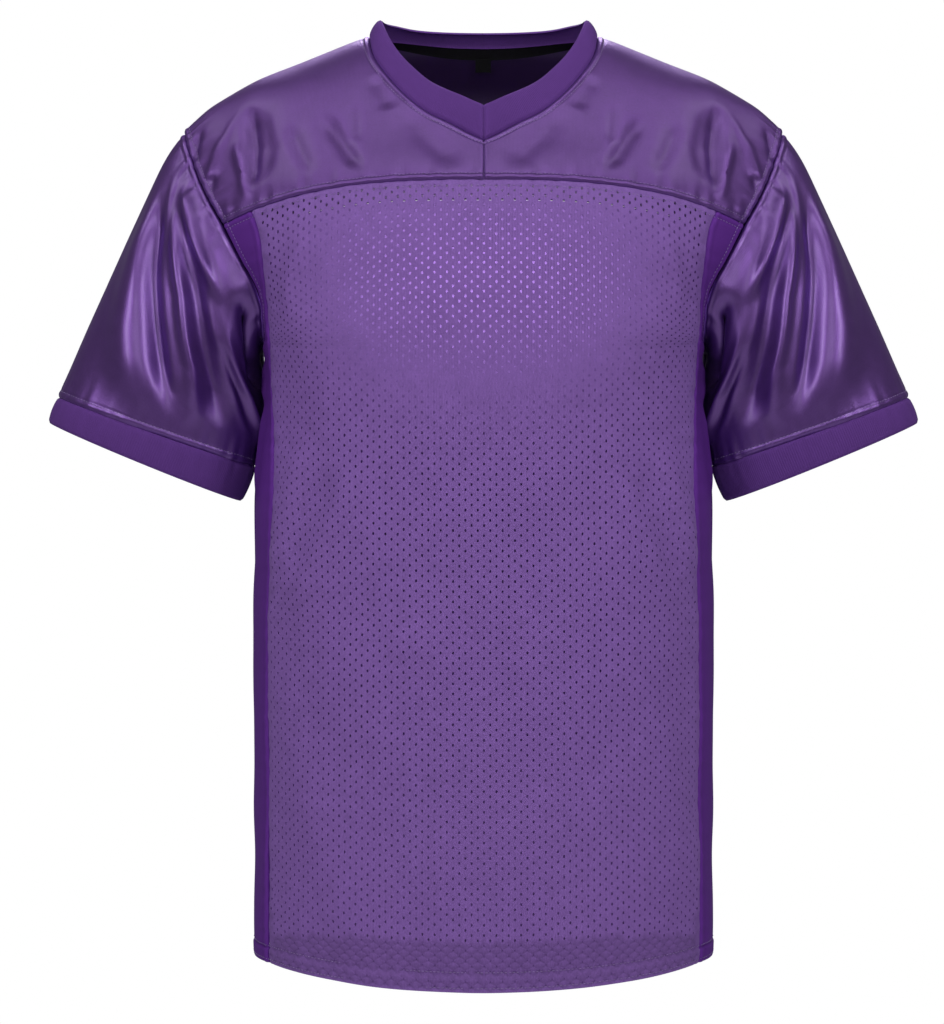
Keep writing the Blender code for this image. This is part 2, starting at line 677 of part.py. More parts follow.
def yoke_outline():
    """(across, down, around) of the yoke's outer edge, from the centre front to the centre back."""
    end_front, end_back = float(mesh_end(SEAM_FRONT)[0]), float(mesh_end(SEAM_BACK)[0])
    half = GAP / 2
    out = []
    for u in np.concatenate((MESH_COLUMNS_FRONT * end_front, end_front + HORN_COLUMNS[1:] * (1 - end_front))):
        out.append((u, SEAM_FRONT - half, 0.30 * u))
    for d in YOKE_HOLE_FRONT[-2::-1]:
        out.append((1.0, d, 0.5 - 0.20 * d / SEAM_FRONT))
    for d in YOKE_HOLE_BACK[1:]:
        out.append((1.0, d, 0.5 + 0.20 * d / SEAM_BACK))
    back = np.concatenate((MESH_COLUMNS_BACK * end_back, end_back + HORN_COLUMNS[1:] * (1 - end_back)))
    for u in back[-2::-1]:
        out.append((u, SEAM_BACK + half, 0.70 + 0.30 * (1 - u)))
    out = np.array(out)
    edge = out[:, 0] > 1 - 1e-9
    corner = edge & ((out[:, 1] > SEAM_FRONT - GAP) | (out[:, 1] < SEAM_BACK + GAP))
    out[edge, 0] -= half / row_length(out[edge, 1])
    return out, edge | corner


YOKE_STEPS = np.concatenate(((0.0,), spread(0.0, 1.0, 6, -0.35)))
OUTLINE, ON_HOLE = yoke_outline()
NECK_PLACES = neck_places(OUTLINE[:, 2])
_ray = OUTLINE[:, :2] - NECK_PLACES
RAY_LENGTH = np.hypot(_ray[:, 0] * row_length(OUTLINE[:, 1]), _ray[:, 1])


def yoke_face(reach):
    """Points and wall directions on the yoke, reach metres out from the neck seam along each ray."""
    t = reach / RAY_LENGTH[:, None]
    place = NECK_PLACES[:, None] + (OUTLINE[:, None, :2] - NECK_PLACES[:, None]) * t[..., None]
    points, normals = body(place[..., 0], place[..., 1])
    normals[0, :, 0] = normals[-1, :, 0] = 0.0
    normals = unit(normals)
    shared = neck_frames()[-1]
    weight = (1 - ease(reach / 0.035))[..., None]
    return points, unit(normals * (1 - weight) + shared[:, None] * weight)


def neck_frames():
    """Points, outward normals of the yoke and of the collar, and their shared direction at the seam."""
    across, down = NECK_PLACES[:, 0], NECK_PLACES[:, 1]
    seam, on_yoke = body(across, down)
    edge = np.stack(COLLAR_EDGE.at(OUTLINE[:, 2]), -1)
    edge[0, 0] = edge[-1, 0] = 0.0
    seam[0, 0] = seam[-1, 0] = 0.0
    rise = edge - seam
    along = np.gradient(seam, axis=0)
    along[0, 1:] = (seam[1] - seam[0])[1:]
    on_collar = unit(np.cross(along, rise))
    # At the two ends the normals lie in the plane of symmetry
    for end in (0, -1):
        on_yoke[end, 0] = on_collar[end, 0] = 0.0
    on_yoke, on_collar = unit(on_yoke), unit(on_collar)
    return seam, edge, on_yoke, on_collar, unit(on_yoke + on_collar)


def both_halves(points, normals, thick, centre_gap):
    """A strip that runs round the whole neck, from the right half of it, with a slit in front."""
    left_p, left_n = points[::-1][1:] * (-1, 1, 1), normals[::-1][1:] * (-1, 1, 1)
    points = np.concatenate((points, left_p))
    normals = np.concatenate((normals, left_n))
    points[0, :, 0], points[-1, :, 0] = centre_gap / 2, -centre_gap / 2
    thick = np.concatenate((thick, thick[::-1][1:]))
    return points, normals, thick


def yoke():
    reach = TAPE_REACH + YOKE_STEPS * (RAY_LENGTH[:, None] - TAPE_REACH)
    reach[:, 0] = GAP / 2
    points, normals = yoke_face(reach)
    hole = hole_mitre(OUTLINE[:, 1])
    weight = (ease((YOKE_STEPS - 0.7) / 0.3)[None, :] * ON_HOLE[:, None])[..., None]
    normals = unit(normals * (1 - weight) + hole[:, None] * weight)
    thick = np.full(reach.shape, WALL)
    points, normals, thick = both_halves(points, normals, thick, GAP)
    return wall("yoke", points, normals, grid_faces(*thick.shape, flip=True), "satin", thick)


def collar():
    seam, edge, on_yoke, on_collar, shared = neck_frames()
    rise = edge - seam
    height = np.linalg.norm(rise, axis=1)
    steps = np.array((0.0, 0.35, 0.7, 1.0))
    start = GAP / 2 / height
    t = start[:, None] + (1 - start)[:, None] * steps
    points = seam[:, None] + rise[:, None] * t[..., None]
    points += on_collar[:, None] * (0.0016 * np.sin(np.pi * np.clip(t, 0, 1)))[..., None]
    weight = (1 - ease(steps / 0.35))[None, :, None]
    normals = unit(on_collar[:, None] * (1 - weight) + shared[:, None] * weight)
    thick = np.full(t.shape, RIB)
    points, normals, thick = both_halves(points, normals, thick, GAP)
    return wall("collar", points, normals, grid_faces(*thick.shape), "rib", thick)


def neck_tape():
    """A strip on the inside of the yoke round the back of the neck, over the seam."""
    keep = OUTLINE[:, 2] >= 0.52
    points, normals = yoke_face(np.array((0.0010, TAPE_REACH)) + 0 * RAY_LENGTH[:, None])
    points, normals = points[keep], normals[keep]
    points = points - normals * (WALL + TAPE_GAP)
    left = slice(None, None, -1)
    points = np.concatenate((points, points[left][1:] * (-1, 1, 1)))
    normals = np.concatenate((normals, normals[left][1:] * (-1, 1, 1)))
    return wall("neck_tape", points, normals, grid_faces(*points.shape[:2], flip=True), "tape", TAPE)


def neck_label():
    """A small label hanging from the tape at the centre back."""
    reach = TAPE_REACH - 0.002 + np.linspace(0, LABEL_LENGTH, 4)
    points, normals = yoke_face(reach + 0 * RAY_LENGTH[:, None])
    points, normals = points[-1], normals[-1]
    points = points - normals * (WALL + TAPE_GAP + TAPE + 0.0007)
    across = np.linspace(-LABEL_WIDTH / 2, LABEL_WIDTH / 2, 3)
    grid = points[:, None] + across[None, :, None] * np.array((1.0, 0.0, 0.0))
    normals = np.repeat(normals[:, None], 3, axis=1)
    return wall("neck_label", grid, normals, grid_faces(4, 3, flip=True), "tape", TAPE)


def sleeve_turns():
    places = np.concatenate(
        (YOKE_HOLE_FRONT, PANEL_HOLE_FRONT[1:], PANEL_HOLE_BACK[-2::-1], YOKE_HOLE_BACK[-2:0:-1])
    )
    turns = turn_of(places)
    shared = hole_mitre(places)
    return np.where(turns < 0, turns + 1, turns), shared


def at_along(turns, along):
    """The columns' turns at this place along the sleeve."""
    end = np.where(turns < 0.5, DRIFT.at(turns)[0], turns)
    return turns + (end - turns) * along


SLEEVE_ROWS = np.concatenate(((0.0, 0.04, 0.10), spread(0.17, 0.93, 10), (0.97, 1.0)))


def sleeves():
    columns, shared = sleeve_turns()
    along = SLEEVE_ROWS.copy()
    turns = at_along(columns[None, :], along[:, None])
    along_grid = np.repeat(along[:, None], len(columns), axis=1)
    # Half of the seam's gap at the armhole and at the cuff
    first = np.linalg.norm(plain_sleeve(turns[0], 0.04) - plain_sleeve(turns[0], 0.0), axis=1) / 0.04
    last = np.linalg.norm(plain_sleeve(turns[-1], 1.0) - plain_sleeve(turns[-1], 0.96), axis=1) / 0.04
    along_grid[0] += GAP / 2 / np.maximum(first, 0.02)
    along_grid[-1] -= GAP / 2 / last
    points, normals = sleeve(turns, along_grid)
    weight = (1 - ease(along / 0.12))[:, None, None]
    normals = unit(normals * (1 - weight) + shared[None] * weight)
    weight = ease((along - 0.92) / 0.08)[:, None, None]
    normals = unit(normals * (1 - weight) + cuff_mitre(turns[-1])[None] * weight)
    faces = grid_faces(len(along), len(columns), closed=True, flip=True)
    left = wall("sleeve_left", points, normals, faces, "satin", WALL)
    return left, mirrored(left, "sleeve_right", "satin")


def cuff_direction(turns):
    lean = (np.cos(2 * np.pi * turns) + 1) / 2
    length = CUFF_INNER + (CUFF_OUTER - CUFF_INNER) * lean
    return AXIS[None, :] * length[:, None]


def cuff_normals(turns):
    edge = plain_sleeve(turns + 0.004, 1.0) - plain_sleeve(turns - 0.004, 1.0)
    return unit(np.cross(edge, cuff_direction(turns)))


def cuff_mitre(turns):
    _, on_sleeve = sleeve(turns, np.full(turns.shape, 0.99))
    return unit(on_sleeve + cuff_normals(turns))


def cuffs():
    turns = at_along(sleeve_turns()[0], 1.0)
    rise = cuff_direction(turns)
    length = np.linalg.norm(rise, axis=1)
    steps = np.array((0.0, 0.5, 1.0))
    t = (GAP / 2 / length)[None, :] + steps[:, None] * (1 - GAP / 2 / length)[None, :]
    own = cuff_normals(turns)
    points = plain_sleeve(turns, 1.0)[None] + rise[None] * t[..., None]
    points += own[None] * (0.0012 * np.sin(np.pi * np.clip(t, 0, 1)))[..., None]
    weight = (1 - ease(steps / 0.5))[:, None, None]
    normals = unit(own[None] * (1 - weight) + cuff_mitre(turns)[None] * weight)
    faces = grid_faces(len(steps), len(turns), closed=True, flip=True)
    left = wall("cuff_left", points, normals, faces, "rib", RIB)
    return left, mirrored(left, "cuff_right", "rib")


def main():
    for old in list(bpy.data.objects):
        bpy.data.objects.remove(old, do_unlink=True)
    mesh_panel("front_mesh_panel", (PANEL_HOLE_FRONT, LOWER_FRONT), MESH_COLUMNS_FRONT, 1)
    mesh_panel("back_mesh_panel", (PANEL_HOLE_BACK, LOWER_BACK), MESH_COLUMNS_BACK, -1)
    mirrored(side_panel("side_panel_left"), "side_panel_right", "side_cloth")
    yoke()
    collar()
    neck_tape()
    neck_label()
    sleeves()
    cuffs()


main()
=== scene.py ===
"""Looks of a loose short-sleeved football jersey: satin yoke and sleeves, perforated mesh panels,
smooth side panels, rib collar and cuffs, with its seams, stitching and folds."""

import bpy
import numpy as np
from mathutils import Matrix, Vector


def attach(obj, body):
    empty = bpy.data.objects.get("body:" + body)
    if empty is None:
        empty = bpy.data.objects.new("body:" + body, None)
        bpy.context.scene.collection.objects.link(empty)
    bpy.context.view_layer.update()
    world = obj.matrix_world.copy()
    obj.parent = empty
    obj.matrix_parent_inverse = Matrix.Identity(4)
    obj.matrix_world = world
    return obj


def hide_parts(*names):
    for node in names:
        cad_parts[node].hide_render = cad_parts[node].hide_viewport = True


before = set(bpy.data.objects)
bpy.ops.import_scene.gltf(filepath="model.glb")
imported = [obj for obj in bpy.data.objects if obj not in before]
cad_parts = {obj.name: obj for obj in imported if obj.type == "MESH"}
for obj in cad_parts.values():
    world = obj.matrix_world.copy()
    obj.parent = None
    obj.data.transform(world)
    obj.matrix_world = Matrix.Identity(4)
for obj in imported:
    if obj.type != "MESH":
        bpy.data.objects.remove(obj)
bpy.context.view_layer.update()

bl_info = {
    "name": "Football jersey",
    "version": (1, 0, 0),
    "blender": (4, 5, 0),
    "location": "View3D > Sidebar > Jersey",
    "description": "Makes a football jersey's cloth pieces, stitching and studio",
    "category": "Object",
}

# The pattern, in metres, as in the solids. Down is the distance along the cloth from the high point of
# the shoulder, and is negative on the back.
GAP = 0.0003
HEM_BAND = 0.0135
CUFF_OUTER, CUFF_INNER = 0.0222, 0.0305
SEAM_FRONT, ARMPIT_FRONT, HEM_FRONT = 0.175, 0.318, 0.818
SEAM_BACK, ARMPIT_BACK, HEM_BACK = -0.210, -0.345, -0.8535
TAPE_REACH = 0.0135
LABEL_WIDE, LABEL_LONG = 0.013, 0.012
SLEEVE_ROUND, SLEEVE_LONG, CUFF_ROUND = 0.46, 0.20, 0.44
STITCH_AWAY, NECK_STITCH_AWAY, CUFF_STITCH_AWAY, HEM_STITCH_AWAY = 0.0062, 0.0048, 0.0055, 0.0035
BACK_STITCHES_FARTHER = 1.017  # from the hem than on the front
EYE = (-0.0094, -3.0, -0.383)  # where the camera stands
MIRROR = (-1.0, 1.0, 1.0)

# ---- settings


def size(name, what, value):
    return bpy.props.FloatProperty(name=name, description=what, default=value, unit="LENGTH")


def colour(name, what, value):
    return bpy.props.FloatVectorProperty(
        name=name, description=what, subtype="COLOR", size=3, min=0, max=1, default=value
    )


class JerseySizes(bpy.types.PropertyGroup):
    """Sizes of the cloth and its details"""

    wall: size("Cloth", "Thickness of one layer of cloth", 0.0012)
    rib_wall: size("Rib", "Thickness of the doubled rib", 0.0020)
    hole_across: size("Hole spacing across", "Distance between holes of one row of the mesh", 0.0097)
    hole_down: size("Hole spacing down", "Distance between neighbouring rows of holes", 0.0040)
    hole_width: size("Hole width", "Width of a hole", 0.0018)
    hole_length: size("Hole length", "Length of a hole", 0.0031)
    stitch_length: size("Stitch", "Length of a stitch", 0.0023)
    stitch_pitch: size("Stitch pitch", "Distance between stitches", 0.0031)
    thread: size("Thread", "Thickness of the thread", 0.0006)


class JerseyColours(bpy.types.PropertyGroup):
    """Colours of the cloths"""

    satin: colour("Satin", "Sleeves", (0.152, 0.064, 0.288))
    yoke: colour("Yoke satin", "Shoulder yoke", (0.132, 0.054, 0.250))
    mesh: colour("Mesh", "Front and back panels", (0.180, 0.090, 0.318))
    side: colour("Side cloth", "Side panels", (0.120, 0.030, 0.265))
    rib: colour("Rib", "Collar and cuffs", (0.116, 0.044, 0.234))
    tape: colour("Tape", "Neck tape and label", (0.008, 0.008, 0.009))
    thread: colour("Thread", "Top stitching", (0.240, 0.150, 0.390))


def sizes():
    return bpy.context.scene.jersey_sizes


def colours():
    return bpy.context.scene.jersey_colours


# ---- the jersey's form


class Table:
    """Rows of whole numbers, each column with the number of its units in a metre or in one. They are
    read by the first column, and between the rows by a smooth cubic."""

    def __init__(self, units, *rows):
        data = np.array(rows, float) / units
        self.x, self.y = data[:, 0], data[:, 1:]
        n, h = len(self.x), np.diff(self.x)
        left, right = np.eye(n), np.zeros_like(self.y)
        for i in range(1, n - 1):
            left[i, i - 1 : i + 2] = h[i - 1], 2 * (h[i - 1] + h[i]), h[i]
            rise = (self.y[i + 1] - self.y[i]) / h[i] - (self.y[i] - self.y[i - 1]) / h[i - 1]
            right[i] = 6 * rise
        self.bend = np.linalg.solve(left, right)

    def at(self, where):
        where = np.clip(np.asarray(where, float), self.x[0], self.x[-1])
        i = np.clip(np.searchsorted(self.x, where, side="right") - 1, 0, len(self.x) - 2)
        h = (self.x[i + 1] - self.x[i])[..., None]
        t = (where - self.x[i])[..., None] / h
        s = 1 - t
        values = s * self.y[i] + t * self.y[i + 1]
        values = values + h**2 / 6 * ((s**3 - s) * self.bend[i] + (t**3 - t) * self.bend[i + 1])
        return np.moveaxis(values, -1, 0)


TENTHS = 10000  # of a millimetre in a metre

# The body's centre line, and how each row bends from it to its edge: down, y, z, the turn of the
# superellipse that the row covers, its exponent, and how late the row falls to its edge
CENTRE = Table(
    (TENTHS, TENTHS, TENTHS, 1, 10, 10),
    (-8535, 1300, -7560, 90, 25, 20), (-7300, 1265, -6330, 90, 25, 20),
    (-6100, 1225, -5130, 90, 25, 20), (-5000, 1245, -4030, 90, 25, 20),
    (-4150, 1300, -3190, 90, 26, 20), (-3450, 1340, -2500, 90, 29, 20),
    (-2900, 1345, -1950, 72, 26, 24), (-2500, 1330, -1550, 64, 24, 28),
    (-2100, 1290, -1160, 60, 22, 30), (-1600, 1180, -635, 57, 21, 30), (-1150, 990, -215, 55, 20, 30),
    (-780, 770, 80, 55, 20, 30), (-400, 400, 95, 55, 20, 30), (0, 0, 45, 55, 20, 29),
    (700, -560, -370, 55, 20, 30), (1300, -940, -870, 55, 21, 30), (1750, -1170, -1203, 58, 22, 30),
    (2150, -1280, -1580, 63, 24, 28), (2550, -1350, -1960, 70, 26, 24),
    (3180, -1405, -2580, 90, 29, 20), (3700, -1410, -3100, 90, 26, 20),
    (4400, -1400, -3800, 90, 25, 20), (5600, -1390, -5000, 90, 25, 20),
    (7000, -1375, -6405, 90, 25, 20), (8180, -1360, -7597, 90, 25, 20),
)
# The armhole: down, x, y, z
ARMHOLE = Table(
    TENTHS,
    (-3450, 1800, 0, -2500), (-3250, 1782, 300, -2420), (-2920, 1795, 570, -2150),
    (-2500, 1930, 660, -1810), (-2100, 2085, 610, -1520), (-1400, 2275, 450, -1200),
    (-700, 2405, 240, -890), (0, 2456, 0, -722), (600, 2410, -190, -880), (1200, 2275, -415, -1210),
    (1750, 2105, -580, -1520), (2150, 1940, -640, -1830), (2550, 1800, -590, -2130),
    (2920, 1778, -350, -2395), (3180, 1800, 0, -2500),
)
# The side line: distance below the armpit, x, z
SIDE = Table(
    TENTHS,
    (0, 1800, -2500), (120, 1773, -2620), (350, 1768, -2850), (700, 1810, -3200), (1100, 1858, -3600),
    (1600, 1874, -4100), (2500, 1873, -5000), (4000, 1872, -6478), (4800, 1874, -7238),
    (5000, 1870, -7412),
)
# How far the line over the shoulder stands above the plain rows: x, rise
SHOULDER_LINE = Table(
    TENTHS,
    (600, 64), (940, 60), (1010, 51), (1100, 35), (1260, 4), (1500, -16), (1720, -11), (1870, 1),
    (2000, 6), (2150, 16), (2275, 26), (2360, 15), (2456, 0),
)
# Where the mesh ends and the side panel begins, seen from the front: height, x
MESH_EDGE = Table(
    TENTHS,
    (-7600, 1722), (-6500, 1730), (-5300, 1732), (-4300, 1715), (-3700, 1685), (-3250, 1688),
    (-2900, 1700), (-2526, 1722), (-2035, 1751), (-1760, 1775), (-1570, 1805), (-1410, 1867),
)
# The neck seam from the centre front (0) over the high point of the shoulder (0.5) to the centre back
# (1): round, x, height, y. The front half is placed by height and the back half by y.
NECK = Table(
    (1000, TENTHS, TENTHS, TENTHS),
    (0, 0, -870, -940), (40, 121, -808, -898), (85, 247, -733, -845), (143, 405, -650, -775),
    (199, 549, -547, -690), (281, 711, -384, -550), (356, 827, -234, -400), (425, 904, -97, -240),
    (500, 940, 50, -35), (580, 915, 70, 220), (661, 830, 75, 430), (743, 680, 80, 600),
    (825, 480, 80, 710), (910, 250, 80, 765), (1000, 0, 80, 780),
)
# The free edge of the collar: round, x, y, z
COLLAR_EDGE = Table(
    (1000, TENTHS, TENTHS, TENTHS),
    (0, 0, -830, -578), (40, 75, -800, -545), (85, 160, -745, -500), (143, 285, -670, -440),
    (199, 410, -580, -370), (281, 545, -490, -257), (356, 660, -385, -133), (425, 757, -245, 14),
    (500, 847, -25, 192), (580, 826, 190, 212), (661, 730, 370, 210), (743, 595, 515, 200),
    (825, 420, 610, 194), (910, 215, 657, 191), (1000, 0, 670, 190),
)
# The sleeve's sections, from its line over the top of the arm to the one under it: along, over x,
# over z, under x, under z, and the depths in front and behind
SLEEVE = Table(
    (100, TENTHS, TENTHS, TENTHS, TENTHS, TENTHS, TENTHS),
    (0, 2456, -722, 1800, -2500, 600, 600), (6, 2565, -865, 1830, -2528, 625, 620),
    (13, 2648, -1016, 1828, -2605, 635, 630), (22, 2722, -1188, 1810, -2700, 630, 630),
    (40, 2912, -1597, 1797, -2880, 610, 610), (60, 3108, -2033, 1804, -3075, 575, 580),
    (80, 3305, -2463, 1828, -3270, 535, 540), (100, 3481, -2887, 1868, -3458, 500, 500),
)
AXIS = np.array((0.375, 0.0, -0.927))  # the sleeve's direction at the cuff
FRONT_LOW = 0.0018  # how much lower the front of the sleeve ends than its sides
# The turn that each column of the sleeve reaches at the cuff, so that the columns follow the folds
DRIFT = Table(
    (100, 1000),
    (0, 0), (5, 120), (10, 205), (15, 270), (20, 320), (25, 365), (30, 405), (35, 440), (40, 467),
    (45, 486), (50, 500),
)
# Folds of the body, in tenths of a millimetre: half width, height and points (x, z) seen from the front
BODY_FOLDS = (
    (56, -60, (1855, -480), (1795, -880), (1815, -1270)),
    (85, -30, (1780, -500), (1680, -900), (1740, -1220)),
    (42, 38, (1955, -780), (1870, -1080), (1835, -1340)), (45, -30, (2260, -660), (2310, -1000)),
    (40, 22, (2050, -720), (2190, -1180)), (50, -26, (2130, -1080), (2155, -1240)),
    (62, -34, (1240, -600), (1080, -860), (910, -1140)),
    (46, -13, (990, -500), (968, -680), (962, -900)),
    (60, -17, (1520, -680), (1420, -900), (1300, -1140)),
    (115, -24, (600, -520), (450, -800), (300, -980), (230, -1160)),
    (70, -20, (830, -280), (770, -420), (700, -620)),
    (30, 14, (1920, -520), (2030, -750), (2130, -1180)),
    (120, 40, (1340, -3200), (1500, -3550), (1610, -3920), (1680, -4500)),
    (110, -32, (1180, -3450), (1380, -3880), (1560, -4400)),
    (95, 22, (1000, -3480), (1200, -3950), (1420, -4400), (1580, -4700)),
    (75, 26, (1400, -1500), (1540, -2000), (1580, -2300)),
    (80, 24, (1750, -2900), (1792, -3180), (1830, -3450), (1855, -3750)),
    (70, 36, (1772, -2580), (1758, -2760), (1765, -2960)), (150, 10, (600, -4700), (200, -5200)),
    (180, -12, (1100, -5600), (600, -6200)),
)
# Folds of the sleeve: half width and height in tenths of a millimetre, and points (turn, along) in
# thousandths
SLEEVE_FOLDS = (
    (185, 82, (40, 100), (90, 290), (122, 450), (152, 640), (200, 820), (245, 980)),
    (75, -95, (60, 140), (115, 280), (175, 480), (214, 630), (250, 780), (272, 920)),
    (72, 66, (100, 60), (175, 250), (226, 380), (280, 610), (302, 800), (292, 950)),
    (50, 16, (70, 50), (120, 180), (160, 300)),
    (100, -65, (180, 160), (265, 380), (328, 620), (355, 850)),
    (80, 75, (105, 30), (190, 110), (240, 180), (290, 260)),
    (70, 62, (285, 240), (325, 360), (403, 520), (450, 700), (470, 880)),
    (58, 26, (240, 260), (318, 420), (383, 620), (430, 840)),
    (65, -26, (300, 360), (370, 540), (425, 760)),
    (150, -165, (300, 120), (352, 170), (410, 260), (452, 400)),
    (140, 45, (620, 150), (680, 450), (660, 800)), (120, -45, (570, 200), (610, 500), (600, 850)),
    (130, 35, (760, 150), (770, 500), (730, 900)), (110, -40, (715, 200), (720, 550), (690, 880)),
)


def unit(vectors):
    return vectors / np.maximum(np.linalg.norm(vectors, axis=-1, keepdims=True), 1e-12)


def ease(t):
    t = np.clip(t, 0, 1)
    return t * t * (3 - 2 * t)


def floats(a, b):
    return np.broadcast_arrays(np.asarray(a, float), np.asarray(b, float))


def run_along(points):
    """The distance along lines of points, which follow each other down the first axis."""
    gaps = np.linalg.norm(np.diff(points, axis=0), axis=-1)
    return np.concatenate((np.zeros_like(gaps[:1]), np.cumsum(gaps, axis=0)))


def halve(low, high, before, times):
    """The place where a test that holds at low stops holding."""
    for _ in range(times):
        middle = (low + high) / 2
        inside = before(middle)
        low, high = np.where(inside, middle, low), np.where(inside, high, middle)
    return middle


def edge_of(down):
    """The side line below the armpits and the armhole above them."""
    front = down >= 0
    armpit = np.where(front, ARMPIT_FRONT, -ARMPIT_BACK)
    hem = np.where(front, HEM_FRONT, -HEM_BACK)
    below = (np.abs(down) - armpit) / (hem - armpit) * 0.5
    (hole_x, hole_y, hole_z), (side_x, side_z) = ARMHOLE.at(down), SIDE.at(below)
    return [np.where(below > 0, *pair) for pair in ((side_x, hole_x), (0.0, hole_y), (side_z, hole_z))]


def row_point(part, down):
    """The plain surface: part runs 0..1 along the superellipse's angle of the row."""
    y, z, turn, roundness, droop = CENTRE.at(down)
    edge_x, edge_y, edge_z = edge_of(down)
    turn = np.radians(np.minimum(turn, 90))

    def arc(angle):
        s, c = np.sin(angle), np.maximum(np.cos(angle), 0)
        reach = (s**roundness + c**roundness) ** (-1 / roundness)
        return reach * s, 1 - reach * c

    out, back = arc(part * turn)
    out_end, back_end = arc(turn)
    out = out / out_end
    x = edge_x * out
    rise = SHOULDER_LINE.at(x)[0] * np.exp(-((down / 0.06) ** 2))
    return np.stack((x, y + (edge_y - y) * back / back_end, z + (edge_z - z) * out**droop + rise), -1)


# Even steps of cloth along each row
DOWN_STEPS = np.linspace(HEM_BACK, HEM_FRONT, 835)
ACROSS_STEPS = np.linspace(0, 1, 161)
_runs = run_along(np.swapaxes(row_point(ACROSS_STEPS[None, :], DOWN_STEPS[:, None]), 0, 1)).T
ROW_LENGTH = _runs[:, -1]
PART_OF = np.array([np.interp(ACROSS_STEPS, run / run[-1], ACROSS_STEPS) for run in _runs])


def row_length(down):
    return np.interp(down, DOWN_STEPS, ROW_LENGTH)


def plain_body(across, down):
    """The plain form: across runs 0..1 from the centre line to the edge, by the cloth's length."""
    across, down = floats(across, down)
    i = (down - DOWN_STEPS[0]) / (DOWN_STEPS[1] - DOWN_STEPS[0])
    j = np.clip(np.abs(across), 0, 1) * (len(ACROSS_STEPS) - 1)
    i0 = np.clip(i.astype(int), 0, len(DOWN_STEPS) - 2)
    j0 = np.clip(j.astype(int), 0, len(ACROSS_STEPS) - 2)
    s, t = i - i0, j - j0
    above = (1 - t) * PART_OF[i0, j0] + t * PART_OF[i0, j0 + 1]
    below = (1 - t) * PART_OF[i0 + 1, j0] + t * PART_OF[i0 + 1, j0 + 1]
    points = row_point((1 - s) * above + s * below, down)
    points[..., 0] *= np.where(across < 0, -1, 1)
    return points


def near_line(points, line, width):
    """1 on a line, fading to 0 to its sides and at its ends."""
    line = np.asarray(line, float)
    best, place = np.full(points.shape[:-1], 1e9), np.zeros(points.shape[:-1])
    lengths = np.linalg.norm(np.diff(line, axis=0), axis=1)
    total, run = lengths.sum(), 0.0
    for start, end, length in zip(line[:-1], line[1:], lengths):
        t = np.clip(((points - start) @ (end - start)) / length**2, 0, 1)
        away = np.linalg.norm(points - start - t[..., None] * (end - start), axis=-1)
        nearer = away < best
        best = np.where(nearer, away, best)
        place = np.where(nearer, (run + t * length) / total, place)
        run += length
    return np.exp(-((best / width) ** 2)) * (ease(place / 0.3) * ease((1 - place) / 0.3))


def place_on_body(x, level, front):
    """(across, down) of the places at x whose height, or on the back whose y, is level."""
    x, level, front = np.broadcast_arrays(np.asarray(x, float), level, front)
    none, all_ = np.zeros(x.shape), np.ones(x.shape)

    def across_at(down):
        return halve(none, all_, lambda across: plain_body(across, down)[..., 0] < x, 24)

    def short(down):
        point = plain_body(across_at(down), down)
        return ~np.where(front, point[..., 2] < level, point[..., 1] > level)

    down = halve(none, np.where(front, HEM_FRONT, -0.2), short, 36)
    return across_at(down), down


def metric(across, down):
    return np.stack((np.abs(across) * row_length(down), down), -1)


FOLD_LINES = []
for _width, _height, *_points in BODY_FOLDS:
    _x, _z = np.array(_points).T / TENTHS
    FOLD_LINES.append((metric(*place_on_body(_x, _z, True)), _width / TENTHS, _height / TENTHS))


def section(angle, along):
    over_x, over_z, under_x, under_z, front, back = SLEEVE.at(along)
    c, s = np.cos(angle), np.sin(angle)
    low = FRONT_LOW * ease(along) * s
    x = (over_x + under_x) / 2 + (over_x - under_x) / 2 * c + AXIS[0] * low
    z = (over_z + under_z) / 2 + (over_z - under_z) / 2 * c + AXIS[2] * low
    return np.stack((x, -np.where(s > 0, front, back) * s, z), -1)


# The turn of the sleeve at each place of the armhole, from -0.5 under the back to 0.5 under the front
HOLE_STEPS = np.linspace(ARMPIT_BACK, ARMPIT_FRONT, 401)
HOLE_DEPTH = 0.06
_top, _pit = (np.stack(ARMHOLE.at(down), -1) for down in (0.0, ARMPIT_FRONT))
_hole, _long = np.stack(ARMHOLE.at(HOLE_STEPS), -1) - (_top + _pit) / 2, (_top - _pit) / 2
_turns = np.arctan2(-_hole[:, 1] / HOLE_DEPTH, _hole @ _long / (_long @ _long))
_turns[0], _turns[-1] = -np.pi, np.pi
HOLE_TURNS = _turns / (2 * np.pi)


def turn_of(down):
    return np.interp(down, HOLE_STEPS, HOLE_TURNS)


def down_of(turn):
    turn = (np.asarray(turn, float) + 0.5) % 1.0 - 0.5
    return np.interp(turn, HOLE_TURNS, HOLE_STEPS)


def plain_sleeve(turn, along):
    turn, along = floats(turn, along)
    angle, down = 2 * np.pi * turn, down_of(turn)
    fade = 1 - ease(along / 0.55)
    hole = plain_body(np.ones_like(down), down)
    return section(angle, along) + (hole - section(angle, 0 * along)) * fade[..., None]


def grooves(away, *lines):
    """Lines along a seam, at a distance from it: each is (place, half width, height)."""
    return sum(height * np.exp(-(((away - at) / width) ** 2)) for at, width, height in lines)


def seam_roll(away, rise=0.0008, depth=0.0012):
    """Cloth that rolls down into its seam, stands up beside it and dips at the top stitching."""
    return grooves(away, (0, 0.0012, -depth), (0.0034, 0.0019, rise), (STITCH_AWAY, 0.0008, -0.0003))


def neck_roll(away):
    """The narrower roll between the collar and its top stitching."""
    return grooves(away, (0, 0.0011, -0.0012), (0.0026, 0.0014, 0.0007), (NECK_STITCH_AWAY, 0.0008, -0.0005))


